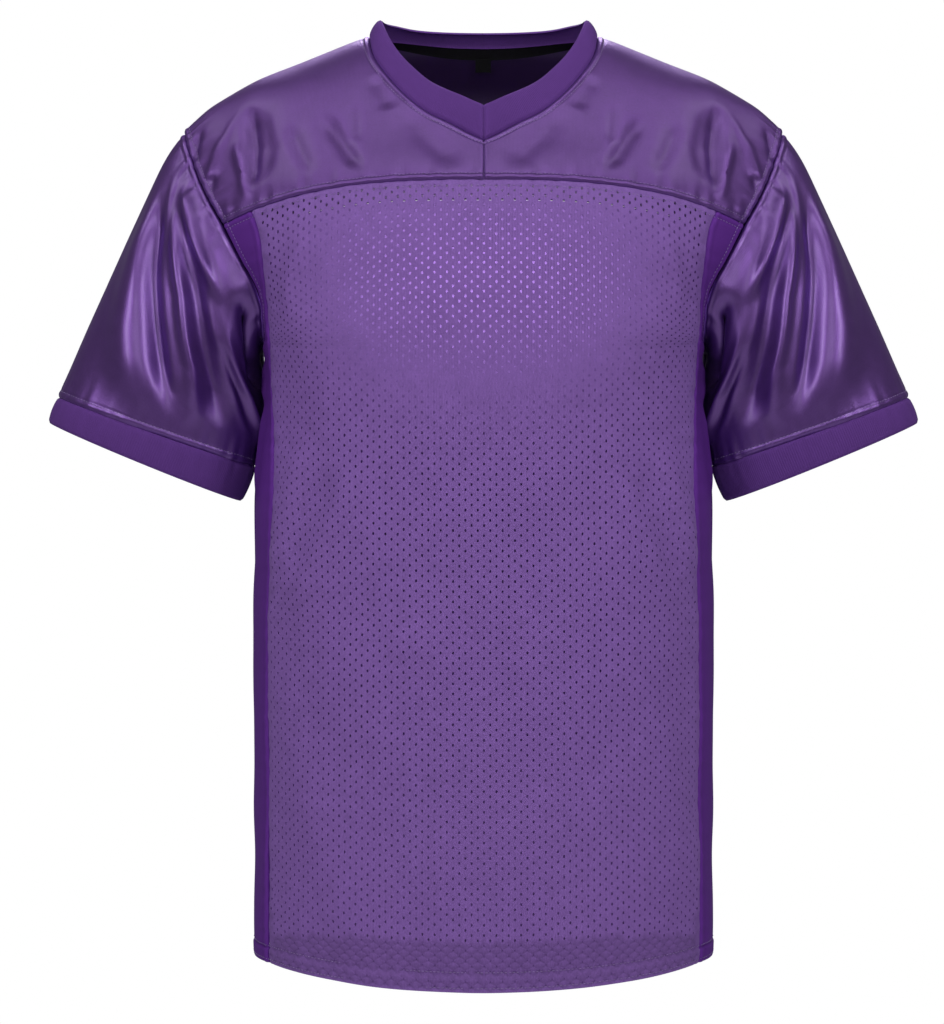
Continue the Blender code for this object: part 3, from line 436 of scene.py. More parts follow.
def rib_roll(t, length, full, seam, edge):
    """The fullness of a doubled rib band, and the dips at its seam and its folded edge."""
    bulge = full * np.sin(np.pi * t) ** 0.8
    return bulge + grooves(t * length, (0, *seam)) + grooves((1 - t) * length, (0, *edge))


def pucker(away, run, pitch, height):
    """Small gathers that the stitching pulls into the cloth beside a seam."""
    wave = np.sin(2 * np.pi * run / pitch + 1.7 * np.sin(run * 31))
    wave = wave + 0.6 * np.sin(run * 2 * np.pi / (pitch * 0.63))
    return height * wave * np.exp(-(((away - 0.006) / 0.014) ** 2))


def slack(q, p, height):
    """The slow unevenness of hanging cloth."""
    return height * (
        np.sin(q * 41 + 1.3 * np.sin(p * 13)) * np.cos(p * 17 + 0.8 * np.sin(q * 19))
        + 0.5 * np.sin(q * 83 - p * 37 + 0.9)
        + 0.35 * np.cos(p * 71 + q * 29)
    )


def body_lift(across, down):
    """Folds, slackness and the turned-up hem."""
    here = metric(across, down)
    lift = np.zeros(here.shape[:-1])
    # On the right the folds of the yoke lie a little farther out
    out = ease(here[..., 0] / 0.12) * (1 - ease((down - 0.15) / 0.05))
    here[..., 0] -= 0.0065 * (across > 0) * out
    for line, width, height in FOLD_LINES:
        lift = lift + height * near_line(here, line, width) * (down > -0.02)
    q = across * row_length(down)
    to_hem = np.where(down > 0, HEM_FRONT - down, down - HEM_BACK)
    below = ease((np.abs(down) - 0.20) / 0.06)
    lift += slack(q, down, 0.0009) * below + slack(q * 1.7, down * 1.4, 0.00025)
    lift += pucker(to_hem - HEM_BAND, q, 0.019, 0.00022)
    lift += 0.0009 * ease((HEM_BAND + 0.0012 - to_hem) / 0.0012)
    dips = (HEM_BAND, 0.0011, -0.0015), (HEM_STITCH_AWAY, 0.0007, -0.0003), (0, 0.0016, -0.0007)
    return lift + grooves(to_hem, *dips)


def body_frame(across, down):
    """Points and outward normals of the plain form."""
    across, down = floats(across, down)
    a0, a1 = np.clip(across - 0.004, -1, 1), np.clip(across + 0.004, -1, 1)
    d0, d1 = (np.clip(down + step, HEM_BACK, HEM_FRONT) for step in (-0.002, 0.002))
    side = plain_body(a1, down) - plain_body(a0, down)
    fall = plain_body(across, d1) - plain_body(across, d0)
    normals = unit(np.cross(fall, side))
    below = (down > ARMPIT_FRONT + 0.001) | (down < ARMPIT_BACK - 0.001)
    normals[..., 1] = np.where((np.abs(across) > 0.9999) & below, 0, normals[..., 1])
    return plain_body(across, down), unit(normals)


def sleeve_frame(turn, along):
    turn, along = floats(turn, along)
    a0, a1 = np.clip(along - 0.006, 0, 1), np.clip(along + 0.006, 0, 1)
    round_ = plain_sleeve(turn + 0.003, along) - plain_sleeve(turn - 0.003, along)
    fall = plain_sleeve(turn, a1) - plain_sleeve(turn, a0)
    return plain_sleeve(turn, along), unit(np.cross(round_, fall))


def sleeve_lift(turn, along, hole_away, cuff_away):
    turn = turn % 1.0
    flat = np.array((SLEEVE_ROUND, SLEEVE_LONG))
    here = np.stack((turn, along), -1) * flat
    lift = np.zeros(here.shape[:-1])
    for width, height, *points in SLEEVE_FOLDS:
        line = np.array(points) / 1000 * flat
        lift = lift + height / TENTHS * near_line(here, line, width / TENTHS)
    lift *= ease(along / 0.08) * ease((1 - along) / 0.025)
    # The same slackness on both sides of the line where the turn starts again
    angle = 2 * np.pi * turn
    lift += slack(0.11 * np.cos(angle) + 0.07 * np.sin(angle), along * SLEEVE_LONG, 0.0007)
    lift += seam_roll(hole_away, 0.0006, 0.0011) + seam_roll(cuff_away, 0.0004, 0.0010)
    lift += pucker(hole_away, turn * SLEEVE_ROUND, 0.017, 0.00035)
    return lift + pucker(cuff_away, turn * CUFF_ROUND, 0.015, 0.00030)


def hole_mitre(down):
    """The direction that the walls of sleeve and body share at the armhole."""
    ones = np.ones_like(down)
    return unit(body_frame(ones * 0.998, down)[1] + sleeve_frame(turn_of(down), ones * 0.01)[1])


def mesh_end(down):
    """The place across each row where the mesh panel ends."""

    def inside(across):
        point = plain_body(across, down)
        return point[..., 0] < MESH_EDGE.at(point[..., 2])[0]

    return halve(np.full(down.shape, 0.4), np.full(down.shape, 0.999), inside, 32)


_lengths = (HEM_BACK, SEAM_BACK), (SEAM_FRONT, HEM_FRONT)
END_STEPS = np.concatenate([np.linspace(*ends, 320) for ends in _lengths])
END_OF = mesh_end(END_STEPS)


def mesh_end_at(down):
    return np.interp(down, END_STEPS, END_OF)


# ---- making meshes


def placed(name, data):
    made = bpy.data.objects.new(name, data)
    bpy.context.scene.collection.objects.link(made)
    return made


def shell(name, points, normals, uv, quads, thick, cloth):
    """A thin closed wall: the outer face, the inner one behind it, and a rim along every free edge."""
    points, normals, uv = points.reshape(-1, 3), normals.reshape(-1, 3), uv.reshape(-1, 2)
    used = np.unique(quads)
    new = np.full(len(points), -1)
    new[used] = np.arange(len(used))
    quads = new[quads]
    points, normals, uv = points[used], normals[used], uv[used]
    count = len(points)
    a, b = quads.reshape(-1), np.roll(quads, -1, axis=1).reshape(-1)
    a, b = a[a != b], b[a != b]
    free = ~np.isin(a * count + b, b * count + a)
    a, b = a[free], b[free]
    rim = np.stack((b, a, a + count, b + count), -1)
    faces = np.concatenate((quads, quads[:, ::-1] + count, rim)).tolist()
    walls = np.vstack((points, points - normals * thick)).tolist()
    mesh = bpy.data.meshes.new(name)
    mesh.from_pydata(walls, [], [tuple(dict.fromkeys(face)) for face in faces])
    loops = np.empty(len(mesh.loops), np.int32)
    mesh.loops.foreach_get("vertex_index", loops)
    flat = np.vstack((uv, uv))[loops].astype(np.float32)
    mesh.uv_layers.new(name="cloth").data.foreach_set("uv", flat.reshape(-1))
    # The inner faces are marked so that the cloth can carry a painted shade there
    inner_face = mesh.attributes.new("inner_face", "FLOAT", "POINT")
    inner_face.data.foreach_set("value", np.repeat((0.0, 1.0), count).astype(np.float32))
    mesh.validate()
    mesh.shade_smooth()
    mesh.set_sharp_from_angle(angle=np.radians(55))
    mesh.materials.append(cloth)
    return placed(name, mesh)


def grid_quads(rows, columns, closed=False, flip=False):
    i, j = np.mgrid[0 : rows - 1, 0 : columns if closed else columns - 1]
    k = (j + 1) % columns
    quads = np.stack((i * columns + j, (i + 1) * columns + j, (i + 1) * columns + k, i * columns + k), -1)
    quads = quads.reshape(-1, 4)
    return quads[:, ::-1] if flip else quads


def steps(*parts):
    """Even runs between places, each (place, count), joined."""
    out = [np.array([parts[0]], float)]
    for place, count in parts[1:]:
        start = out[-1][-1]
        out.append(start + (place - start) * np.arange(1, count + 1) / count)
    return np.concatenate(out)


def blend(normals, other, weight):
    weight = weight[..., None]
    return unit(normals * (1 - weight) + other * weight)


def declare(piece, node, slot, flat, area=None, held="hung", rests=()):
    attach(piece, "root")
    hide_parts(node)


def declare_pair(left, node, slot, flat, rests=(), **facts):
    """A left piece and its mirrored twin. {} in a node's name stands for the side."""
    mesh = left.data.copy()
    mesh.name = left.name.replace("left", "right")
    mesh.transform(Matrix.Diagonal((*MIRROR, 1.0)))
    mesh.flip_normals()
    for piece, side in ((left, "left"), (placed(mesh.name, mesh), "right")):
        held_by = [name.format(side) for name in rests]
        declare(piece, node.format(side), slot, flat, rests=held_by, **facts)


# ---- cloth


class Net:
    """Short ways to add nodes to one tree and to join them."""

    def __init__(self, tree):
        self.nodes, self.links = tree.nodes, tree.links

    def set(self, node, inputs):
        """Gives each input its plain value, or links it to another node's output."""
        for key, value in inputs.items():
            if isinstance(value, bpy.types.NodeSocket):
                self.links.new(value, node.inputs[key])
            else:
                node.inputs[key].default_value = value

    def add(self, kind, inputs=None, **settings):
        node = self.nodes.new(kind)
        for name, value in settings.items():
            setattr(node, name, value)
        self.set(node, inputs or {})
        return node.outputs

    def math(self, kind, *values):
        return self.add("ShaderNodeMath", dict(enumerate(values)), operation=kind)[0]

    def noise(self, vector, scale, detail):
        return self.add("ShaderNodeTexNoise", {"Vector": vector, "Scale": scale, "Detail": detail})["Fac"]

    def ranged(self, value, low, high, to_low, to_high):
        ends = {"From Min": low, "From Max": high, "To Min": to_low, "To Max": to_high}
        return self.add("ShaderNodeMapRange", {"Value": value, **ends})["Result"]

    def toned(self, colour, value):
        return self.add("ShaderNodeHueSaturation", {"Color": colour, "Value": value})[0]

    def bumped(self, height, strength, distance):
        inputs = {"Height": height, "Strength": strength, "Distance": distance}
        return self.add("ShaderNodeBump", inputs)[0]


def new_group(name, kind, inputs, outputs):
    """A node group with named sockets, each (label, type) and a default value where it needs one."""
    group = bpy.data.node_groups.new(name, kind)
    for way, sockets in (("INPUT", inputs), ("OUTPUT", outputs)):
        for label, what, *value in sockets:
            socket = group.interface.new_socket(label, in_out=way, socket_type=f"NodeSocket{what}")
            if value:
                socket.default_value = value[0]
    net = Net(group)
    return group, net, net.add("NodeGroupInput"), group.nodes.new("NodeGroupOutput")


def knit_group():
    """Columns of fine loops that follow the cloth, with the yarn's unevenness."""
    counts = ("Columns per metre", "Float", 900.0), ("Rows per metre", "Float", 1100.0)
    group, net, given, out = new_group(
        "Knit",
        "ShaderNodeTree",
        (("Vector", "Vector"), *counts, ("Unevenness", "Float", 0.5)),
        (("Height", "Float"), ("Tone", "Float")),
    )
    split = net.add("ShaderNodeSeparateXYZ", {0: given["Vector"]})
    full_turn, waves = 6.2832, []
    for axis, (label, *_) in enumerate(counts):
        turns = net.math("MULTIPLY", split[axis], given[label])
        waves.append(net.math("SINE", net.math("MULTIPLY", turns, full_turn)))
    loops = net.math("ADD", waves[0], net.math("MULTIPLY", waves[1], 0.5))
    grain, wide = net.noise(given["Vector"], 620, 3), net.noise(given["Vector"], 85, 4)
    mixed = net.math("ADD", grain, net.math("MULTIPLY", wide, 0.8))
    uneven = net.math("MULTIPLY", mixed, given["Unevenness"])
    net.set(out, {"Height": net.math("ADD", net.math("MULTIPLY", loops, 0.25), uneven), "Tone": uneven})
    return group


def rubbed_group():
    """Painted light and shade: edges and crests a little lighter, hollows a little darker."""
    group, net, given, out = new_group(
        "Crest light and hollow shade",
        "ShaderNodeTree",
        (("Colour", "Color", (0.5, 0.5, 0.5, 1)), ("Amount", "Float", 0.3)),
        (("Colour", "Color"),),
    )
    crest = net.ranged(net.add("ShaderNodeNewGeometry")["Pointiness"], 0.45, 0.56, -1.0, 1.0)
    value = net.math("ADD", net.math("MULTIPLY", crest, given["Amount"]), 1.0)
    net.set(out, {"Colour": net.toned(given["Colour"], value)})
    return group


def once(name, make):
    return bpy.data.node_groups.get(name) or make()


def new_material(name):
    made = bpy.data.materials.new(name)
    made.use_nodes = True
    return made, Net(made.node_tree), made.node_tree.nodes["Principled BSDF"]


# What sets one cloth apart from another: the knit's columns and rows per metre, its unevenness, how far that
# shades and how much painted light on crests and painted shade in hollows, then the shine, how much painted
# shade darkens the inner face, and the bump
LOOKS = "columns rows uneven mottle rubbed rough metal specular glint gloss reverse sheen bump".split()
LILAC, WHITE = (0.62, 0.50, 0.86), (1.0, 1.0, 1.0)
FINISHES = {
    "satin": (950, 1250, 0.55, 0.13, 0.22, 0.31, 0.76, 1.0, (0.66, 0.40, 1.0), 0.6, 0.5, 0.0, 0.3),
    "yoke": (950, 1250, 0.60, 0.15, 0.24, 0.34, 0.64, 1.0, (0.75, 0.55, 1.0), 0.25, 0.3, 0.05, 0.4),
    "mesh": (820, 1000, 0.75, 0.16, 0.30, 0.60, 0.10, 0.35, LILAC, 0.0, 1.0, 0.12, 0.8),
    "side": (1100, 1300, 0.40, 0.06, 0.20, 0.55, 0.10, 0.12, LILAC, 0.0, 1.0, 0.0, 0.3),
    "rib": (620, 1500, 0.45, 0.07, 0.25, 0.85, 0.0, 0.12, LILAC, 0.0, 1.0, 0.05, 0.8),
    "tape": (700, 700, 0.40, 0.10, 0.20, 0.85, 0.0, 0.2, WHITE, 0.0, 1.0, 0.0, 0.6),
}


def cloth(kind):
    """The knitted cloth of one kind, made once."""
    name = f"jersey_{kind}"
    if name in bpy.data.materials:
        return bpy.data.materials[name]
    tint, look = (*getattr(colours(), kind), 1), dict(zip(LOOKS, FINISHES[kind]))
    uneven, mottle, rough = look["uneven"], look["mottle"], look["rough"]
    made, net, shader = new_material(name)
    knit = net.add(
        "ShaderNodeGroup",
        {
            "Vector": net.add("ShaderNodeUVMap", uv_map="cloth")[0],
            "Columns per metre": look["columns"],
            "Rows per metre": look["rows"],
            "Unevenness": uneven,
        },
        node_tree=once("Knit", knit_group),
    )
    shade = net.ranged(knit["Tone"], 0.35 * uneven, 1.25 * uneven, 1 - mottle, 1 + mottle)
    # Painted shade: the inner faces are darkened to stand in for the shade inside the jersey
    inner_face = net.add("ShaderNodeAttribute", attribute_name="inner_face")["Fac"]
    inner_shade_factor = net.math("ADD", net.math("MULTIPLY", inner_face, look["reverse"] - 1.0), 1.0)
    toned = net.toned(tint, net.math("MULTIPLY", shade, inner_shade_factor))
    # Painted highlight on crests and painted shade in hollows, by the surface's pointiness
    inputs = {"Colour": toned, "Amount": look["rubbed"]}
    rubbed = net.add("ShaderNodeGroup", inputs, node_tree=once("Crest light and hollow shade", rubbed_group))
    inputs = {
        "Base Color": rubbed[0],
        "Roughness": net.ranged(knit["Tone"], 0.3 * uneven, 1.3 * uneven, rough - 0.05, rough + 0.07),
        "Metallic": look["metal"],
        "Specular IOR Level": look["specular"],
        "Specular Tint": (*look["glint"], 1),
        "Coat Weight": look["gloss"],
        "Coat Roughness": 0.28,
        "Sheen Weight": look["sheen"],
        "Sheen Roughness": 0.45,
        "Sheen Tint": (*LILAC, 1),
        "Normal": net.bumped(knit["Height"], look["bump"], 0.0003),
    }
    net.set(shader, inputs)
    made.diffuse_color = tint
    return made


# ---- mesh panels


def on_body(across, down, extra=0.0):
    """Points on the folded cloth, and its normals."""
    points, normals = body_frame(across, down)
    return points + normals * (body_lift(across, down) + extra)[..., None], normals


def sight(front, behind):
    """How far the line of sight through a place on the front has spread by the time it meets the back."""
    return (behind[..., 1] - EYE[1]) / (front[..., 1] - EYE[1])


def between_front_holes(q, p):
    """The place on the back, at p down it, that is seen behind q, a distance across the front."""
    p = np.clip(p, -SEAM_BACK, -HEM_BACK)
    down, across = p - 0.02, 1.05 * q
    for _ in range(7):
        behind = on_body(np.clip(across / row_length(-p), -1, 1), -p)[0]
        before = on_body(np.clip(q / row_length(down), -1, 1), down)[0]
        share = sight(before, behind)
        level = EYE[2] + (behind[..., 2] - EYE[2]) / share
        down = np.clip(down + before[..., 2] - level, SEAM_FRONT, HEM_FRONT)
        across = across + EYE[0] + (before[..., 0] - EYE[0]) * share - behind[..., 0]
    return across


def perforated_panel(name, side):
    """A panel knitted with rows of small oval holes, each row set half a space from the last."""
    s = sizes()
    wide, tall = s.hole_across, s.hole_down
    top, hem = (SEAM_FRONT, HEM_FRONT) if side > 0 else (-SEAM_BACK, -HEM_BACK)
    top += GAP / 2
    half_panel, plain_edge = 0.215, 0.0045
    rows, reach = int((hem - top) / tall) + 6, int(half_panel / wide) + 2
    j, i = np.mgrid[0:rows, -reach : reach + 1]
    q0 = (i + 0.5 * (j % 2)) * wide
    p0 = top + (j - 2.4) * tall
    if side < 0:
        q0 = between_front_holes(q0 + wide / 4, p0)
    # The six corners of each hole, and the holes a little smaller lower down
    corner = np.array(((0, -1), (1, -0.5), (1, 0.5), (0, 1), (-1, 0.5), (-1, -0.5)))
    T, UR, LR, B, LL, UL = range(6)
    smaller = (1 - 0.16 * ease((p0 - 0.25) / 0.12))[..., None]
    half_w, half_l = s.hole_width / 2, s.hole_length / 2
    q = q0[..., None] + corner[:, 0] * half_w * smaller
    p = p0[..., None] + corner[:, 1] * half_l * smaller
    down = np.clip(p, top, hem) * side
    length = row_length(down)
    limit = mesh_end_at(down) - GAP / 2 / length
    across = np.clip(q / length, -limit, limit)
    within = ((p - top).min(-1) > plain_edge) & ((limit * length - np.abs(q)).min(-1) > plain_edge)
    inside = within & ((hem - p - HEM_BAND).min(-1) > 0.004)
    if side > 0:
        # A hole that would show the backdrop below the back hem is only a dimple, as on the hem
        here, beyond = plain_body(across, down), plain_body(across, np.full(down.shape, HEM_BACK))
        level = EYE[2] + (here[..., 2] - EYE[2]) * sight(here, beyond)
        inside &= (level - beyond[..., 2]).min(-1) > 0.004
    off_groove = np.abs(hem - p0 - HEM_BAND) > half_l + 0.0008
    dimple = within & ~inside & ((hem - p).min(-1) > 0.0020) & off_groove
    # The cloth between the holes, then the dimples, then what would be holes too near an edge
    width = across.shape[1]
    index = np.arange(across.size).reshape(across.shape)
    columns = np.arange(width)[None, :]
    right = np.where(j[: rows - 2] % 2 == 0, columns, columns + 1)
    r, c = np.nonzero((right < width) & (right > 0))
    me, below = index[r, c], index[r + 2, c]
    right, left = index[r + 1, right[r, c]], index[r + 1, right[r, c] - 1]
    quads = [
        np.stack((me[:, LR], me[:, B], right[:, UL], right[:, T]), -1),
        np.stack((me[:, B], me[:, LL], left[:, T], left[:, UR]), -1),
        np.stack((me[:, B], left[:, UR], left[:, LR], below[:, T]), -1),
        np.stack((me[:, B], below[:, T], right[:, LL], right[:, UL]), -1),
    ]
    pit, shut = index[dimple], index[~inside & ~dimple]
    middle = across.size + np.arange(len(pit))[:, None]
    quads += [np.append(middle, pit[:, trio], 1) for trio in ((T, UL, LL), (LL, B, LR), (LR, UR, T))]
    quads += [shut[:, (T, UL, LL, B)], shut[:, (T, B, LR, UR)]]
    quads = np.concatenate(quads)
    a, d = (np.append(x, x[dimple][:, (T, B)].mean(-1)) for x in (across, down))
    limit = np.append(limit, np.ones(len(pit)))
    # Corners pushed onto the same place of the edge become one, and faces that lie along it go
    length = row_length(d)
    place = np.round(np.stack((a * length, d), -1) * 2e5).astype(np.int64)
    _, first, same = np.unique(place, axis=0, return_index=True, return_inverse=True)
    quads = first[same.reshape(-1)][quads]
    end = np.abs(a) >= limit - 1e-9
    for edge in (end & (a > 0), end & (a < 0), np.abs(d) <= top + 1e-9, np.abs(d) >= hem - 1e-9):
        quads = quads[~edge[quads].all(-1)]
    quads = quads[[len(set(quad)) > 2 for quad in quads.tolist()]]
    points, normals = body_frame(a, d)
    to_seam, to_side = np.abs(d) - top, (mesh_end_at(d) - np.abs(a)) * length
    lift = body_lift(a, d) + seam_roll(to_seam, 0.0005) + seam_roll(to_side, 0.0003, 0.0009)
    lift += pucker(to_seam, a * length, 0.016, 0.00030) + pucker(to_side, d, 0.021, 0.00025)
    lift[across.size :] -= 0.0011
    points, uv = points + normals * lift[:, None], np.stack((a * length, d), -1)
    return shell(name, points, normals, uv, quads[:, ::side], s.wall * 0.85, cloth("mesh"))


# ---- side panels, yoke, neck


def side_panel():
    """The smooth panel from the hem to the armpit, with a horn up each side of the armhole."""
    columns = steps(0.0, (0.12, 4), (0.88, 14), (1.0, 5))
    made = []
    lengths = (1, SEAM_FRONT, ARMPIT_FRONT, HEM_FRONT), (-1, SEAM_BACK, ARMPIT_BACK, HEM_BACK)
    for side, seam, armpit, hem in lengths:
        armhole = steps(seam, (seam + side * 0.012, 10), (armpit, 44))
        share = steps(0.0, (0.93, 130), (0.966, 8), (1.0, 26))[1:]
        down = np.concatenate((armhole, armpit + (hem - armpit) * share))
        start = mesh_end_at(down) + GAP / 2 / row_length(down)
        down[0] += side * GAP / 2
        last = len(armhole) - 1
        stop = np.ones(len(down))
        stop[:last] -= GAP / 2 / row_length(down[:last])
        a = start[:, None] + columns * (stop - start)[:, None]
        d = np.repeat(down[:, None], len(columns), axis=1)
        d[last, -1] += side * GAP / 2
        points, normals = body_frame(a, d)
        length, above = row_length(d), np.abs(d) <= abs(armpit)
        to_mesh, to_hole = (a - mesh_end_at(d)) * length, np.where(above, (1 - a) * length, 1.0)
        plain = body_lift(a, d)
        lift = plain + seam_roll(to_mesh, 0.0004) + seam_roll(np.abs(d - seam), 0.0004)
        lift += seam_roll(to_hole, 0.0005) + pucker(to_mesh, d, 0.018, 0.0002)
        # The side line, which front and back share, has no roll
        lift = np.where(~above & (a > 0.9999), plain, lift)
        shared = hole_mitre(armhole)[np.minimum(np.arange(len(down)), last)]
        fade = 1 - ease((np.abs(down) - abs(armpit)) / 0.04)
        weight = ease((columns - 0.5) / 0.5)[None, :] * fade[:, None]
        points = points + normals * lift[..., None]
        index = np.arange(a.size).reshape(a.shape)
        if side < 0:
            index += a.size
            index[last:, -1] = front[last:, -1]
        front = index
        quads = index.reshape(-1)[grid_quads(*a.shape, flip=side < 0)]
        uv = np.stack((side * (1 - a) * length, np.abs(d)), -1).reshape(-1, 2)
        normals = blend(normals, shared[:, None], weight)
        made.append((points.reshape(-1, 3), normals.reshape(-1, 3), uv, quads))
    return shell("side_left", *map(np.concatenate, zip(*made)), sizes().wall, cloth("side"))


def yoke_outline():
    """(across, down, round the neck) of the yoke's outer edge, from centre front to centre back."""
    half = GAP / 2
    front = steps(0.0, (0.02, 6), (mesh_end_at(SEAM_FRONT), 70), (1.0, 12))
    hole = steps(SEAM_FRONT, (0.0, 46), (SEAM_BACK, 44))[1:]
    back = steps(1.0, (mesh_end_at(SEAM_BACK), 10), (0.0, 60))[1:]
    share = np.where(hole > 0, hole / SEAM_FRONT, -hole / SEAM_BACK)
    across = np.concatenate((front, np.ones_like(hole), back))
    down = np.concatenate((0 * front + SEAM_FRONT - half, hole, 0 * back + SEAM_BACK + half))
    turn = np.concatenate((0.30 * front, 0.5 - 0.20 * share, 0.70 + 0.30 * (1 - back)))
    edge = across > 1 - 1e-9
    across[edge] -= half / row_length(down[edge])
    return np.stack((across, down), -1), turn, edge


OUTLINE, OUTLINE_TURN, ON_HOLE = yoke_outline()
_x, _height, _y = NECK.at(OUTLINE_TURN)
_front = OUTLINE_TURN < 0.5 + 1e-6
NECK_PLACES = np.stack(place_on_body(_x, np.where(_front, _height, _y), _front), -1)
_ray = OUTLINE - NECK_PLACES
RAY_LENGTH = np.hypot(_ray[:, 0] * row_length(OUTLINE[:, 1]), _ray[:, 1])[:, None]


def neck_frames():
    """Neck seam, collar edge, and the outward normals of the collar and of collar and yoke together."""
    seam, on_yoke = body_frame(*NECK_PLACES.T)
    edge = np.stack(COLLAR_EDGE.at(OUTLINE_TURN), -1)
    edge[[0, -1], 0] = seam[[0, -1], 0] = 0.0
    on_collar = unit(np.cross(np.gradient(seam, axis=0), edge - seam))
    on_yoke[[0, -1], 0] = on_collar[[0, -1], 0] = 0.0
    on_yoke, on_collar = unit(on_yoke), unit(on_collar)
    return seam, edge, on_collar, unit(on_yoke + on_collar)


def yoke_face(reach):
    """Places, points and wall directions on the yoke, reach metres out from the neck seam."""
    t = reach / RAY_LENGTH
    place = NECK_PLACES[:, None] + (OUTLINE - NECK_PLACES)[:, None] * t[..., None]
    points, normals = body_frame(place[..., 0], place[..., 1])
    normals[[0, -1], :, 0] = 0.0
    return place, points, blend(unit(normals), neck_frames()[-1][:, None], 1 - ease(reach / 0.02))


def both_halves(points, normals, uv, slit=None):
    """A strip round the whole neck from its right half, with a slit at the centre front."""
    points = np.concatenate((points, points[::-1][1:] * MIRROR))
    normals = np.concatenate((normals, normals[::-1][1:] * MIRROR))
    uv = np.concatenate((uv, uv[::-1][1:] * (-1, 1)))
    if slit:
        points[0, :, 0], points[-1, :, 0] = slit / 2, -slit / 2
    return points, normals, uv


def yoke():
    even = steps(0.0, (0.045, 9), (0.12, 8), (0.90, 46), (1.0, 12))
    reach = RAY_LENGTH * even
    reach[:, 0] = GAP / 2
    place, points, normals = yoke_face(reach)
    a, d = place[..., 0], place[..., 1]
    length = row_length(d)
    to_front, to_hole = SEAM_FRONT - d, (1 - a) * length
    lift = body_lift(a, d) + neck_roll(reach) + seam_roll(to_front, 0.0008)
    lift += seam_roll(d - SEAM_BACK, 0.0007) + seam_roll(to_hole, 0.0007)
    lift += pucker(to_front, a * length, 0.018, 0.00035) + pucker(to_hole, d, 0.017, 0.0004)
    # The seam at the centre front
    lift += grooves(np.abs(a) * length, (0, 0.0008, -0.0009), (0.0020, 0.0010, 0.0003)) * (d > 0.08)
    points = points + normals * lift[..., None]
    weight = ease((even - 0.8) / 0.2)[None, :] * ON_HOLE[:, None]
    normals = blend(normals, hole_mitre(OUTLINE[:, 1])[:, None], weight)
    made = both_halves(points, normals, np.stack((a * length, d), -1), GAP)
    return shell("yoke_satin", *made, grid_quads(*made[0].shape[:2], flip=True), sizes().wall, cloth("yoke"))


def collar():
    seam, edge, on_collar, shared = neck_frames()
    rise = edge - seam
    height = np.linalg.norm(rise, axis=1)[:, None]
    t = np.maximum(steps(0.0, (0.12, 4), (0.88, 10), (1.0, 5))[None, :], GAP / 2 / height)
    points = seam[:, None] + rise[:, None] * t[..., None]
    from_seam = t * height
    lift = rib_roll(t, height, 0.0016, (0.0015, -0.0012), (0.0012, -0.0008))
    # The mitre at the centre front is pulled in by its stitching
    lift += grooves(points[..., 0], (0, 0.0014, -0.0011)) * (OUTLINE_TURN < 0.3)[:, None]
    points = points + on_collar[:, None] * lift[..., None]
    normals = blend(on_collar[:, None], shared[:, None], 1 - ease(t / 0.3))
    uv = np.stack((run_along(seam)[:, None] + 0 * t, from_seam), -1)
    made = both_halves(points, normals, uv, GAP)
    return shell("collar_rib", *made, grid_quads(*made[0].shape[:2]), sizes().rib_wall, cloth("rib"))


INSIDE = 0.0006  # how far the tape lies inside the yoke


def neck_tape():
    keep = OUTLINE_TURN >= 0.52
    reach = steps(0.0008, (TAPE_REACH, 7)) + 0 * RAY_LENGTH
    place, points, normals, reach = (x[keep] for x in (*yoke_face(reach), reach))
    uv = np.stack((place[..., 0] * row_length(place[..., 1]), reach), -1)
    lift = grooves(reach, (0.0025, 0.0006, 0.0003), (TAPE_REACH - 0.002, 0.0006, 0.0003))
    points = points - normals * (sizes().wall + INSIDE - lift)[..., None]
    made = both_halves(points, normals, uv)
    return shell("neck_tape_strip", *made, grid_quads(*made[0].shape[:2], flip=True), 0.0009, cloth("tape"))


def neck_label():
    """A bare folded label that hangs from the tape."""
    rows, columns = 13, 14
    down = np.linspace(0, LABEL_LONG, rows)
    reach = TAPE_REACH - 0.002 + down
    _, points, normals = yoke_face(reach + 0 * RAY_LENGTH)
    across = np.linspace(-LABEL_WIDE / 2, LABEL_WIDE / 2, columns)
    # It bows away from the tape and its sides curl
    bow = 0.0007 * (down / LABEL_LONG) ** 2
    curl = 0.0006 * (across / (LABEL_WIDE / 2)) ** 2
    away = (sizes().wall + INSIDE + 0.0017 + bow)[:, None] + curl[None, :]
    normals = np.repeat(normals[-1][:, None], columns, axis=1)
    grid = points[-1][:, None] + across[None, :, None] * np.array((1.0, 0.0, 0.0)) - normals * away[..., None]
    uv = np.stack(np.broadcast_arrays(across[None, :], reach[:, None]), -1)
    quads = grid_quads(rows, columns, flip=True)
    return shell("neck_label_tab", grid, normals, uv, quads, 0.0006, cloth("tape"))


# ---- sleeves and cuffs

SLEEVE_COLUMNS = np.concatenate((steps(0.0, (0.06, 16), (0.5, 104)), steps(0.5, (1.0, 72))[1:-1]))


def at_along(turns, along):
    end = np.where(turns < 0.5, DRIFT.at(turns)[0], turns)
    return turns + (end - turns) * along


CUFF_TURNS = at_along(SLEEVE_COLUMNS, 1.0)


def sleeve():
    along = steps(0.0, (0.03, 6), (0.10, 8), (0.94, 74), (1.0, 12))
    turns = at_along(SLEEVE_COLUMNS[None, :], along[:, None])
    grid = np.repeat(along[:, None], len(SLEEVE_COLUMNS), axis=1)
    run = run_along(plain_sleeve(turns, grid))
    points, normals = sleeve_frame(turns, grid)
    points = points + normals * sleeve_lift(turns, grid, run, run[-1] - run)[..., None]
    normals = blend(normals, hole_mitre(down_of(SLEEVE_COLUMNS))[None], 1 - ease(along / 0.10)[:, None])
    # Half of the gap at each seam
    points[0] += unit(points[1] - points[0]) * GAP / 2
    points[-1] += unit(points[-2] - points[-1]) * GAP / 2
    uv = np.stack((turns * SLEEVE_ROUND, run), -1)
    quads = grid_quads(*turns.shape, closed=True, flip=True)
    return shell("sleeve_satin_left", points, normals, uv, quads, sizes().wall, cloth("satin"))


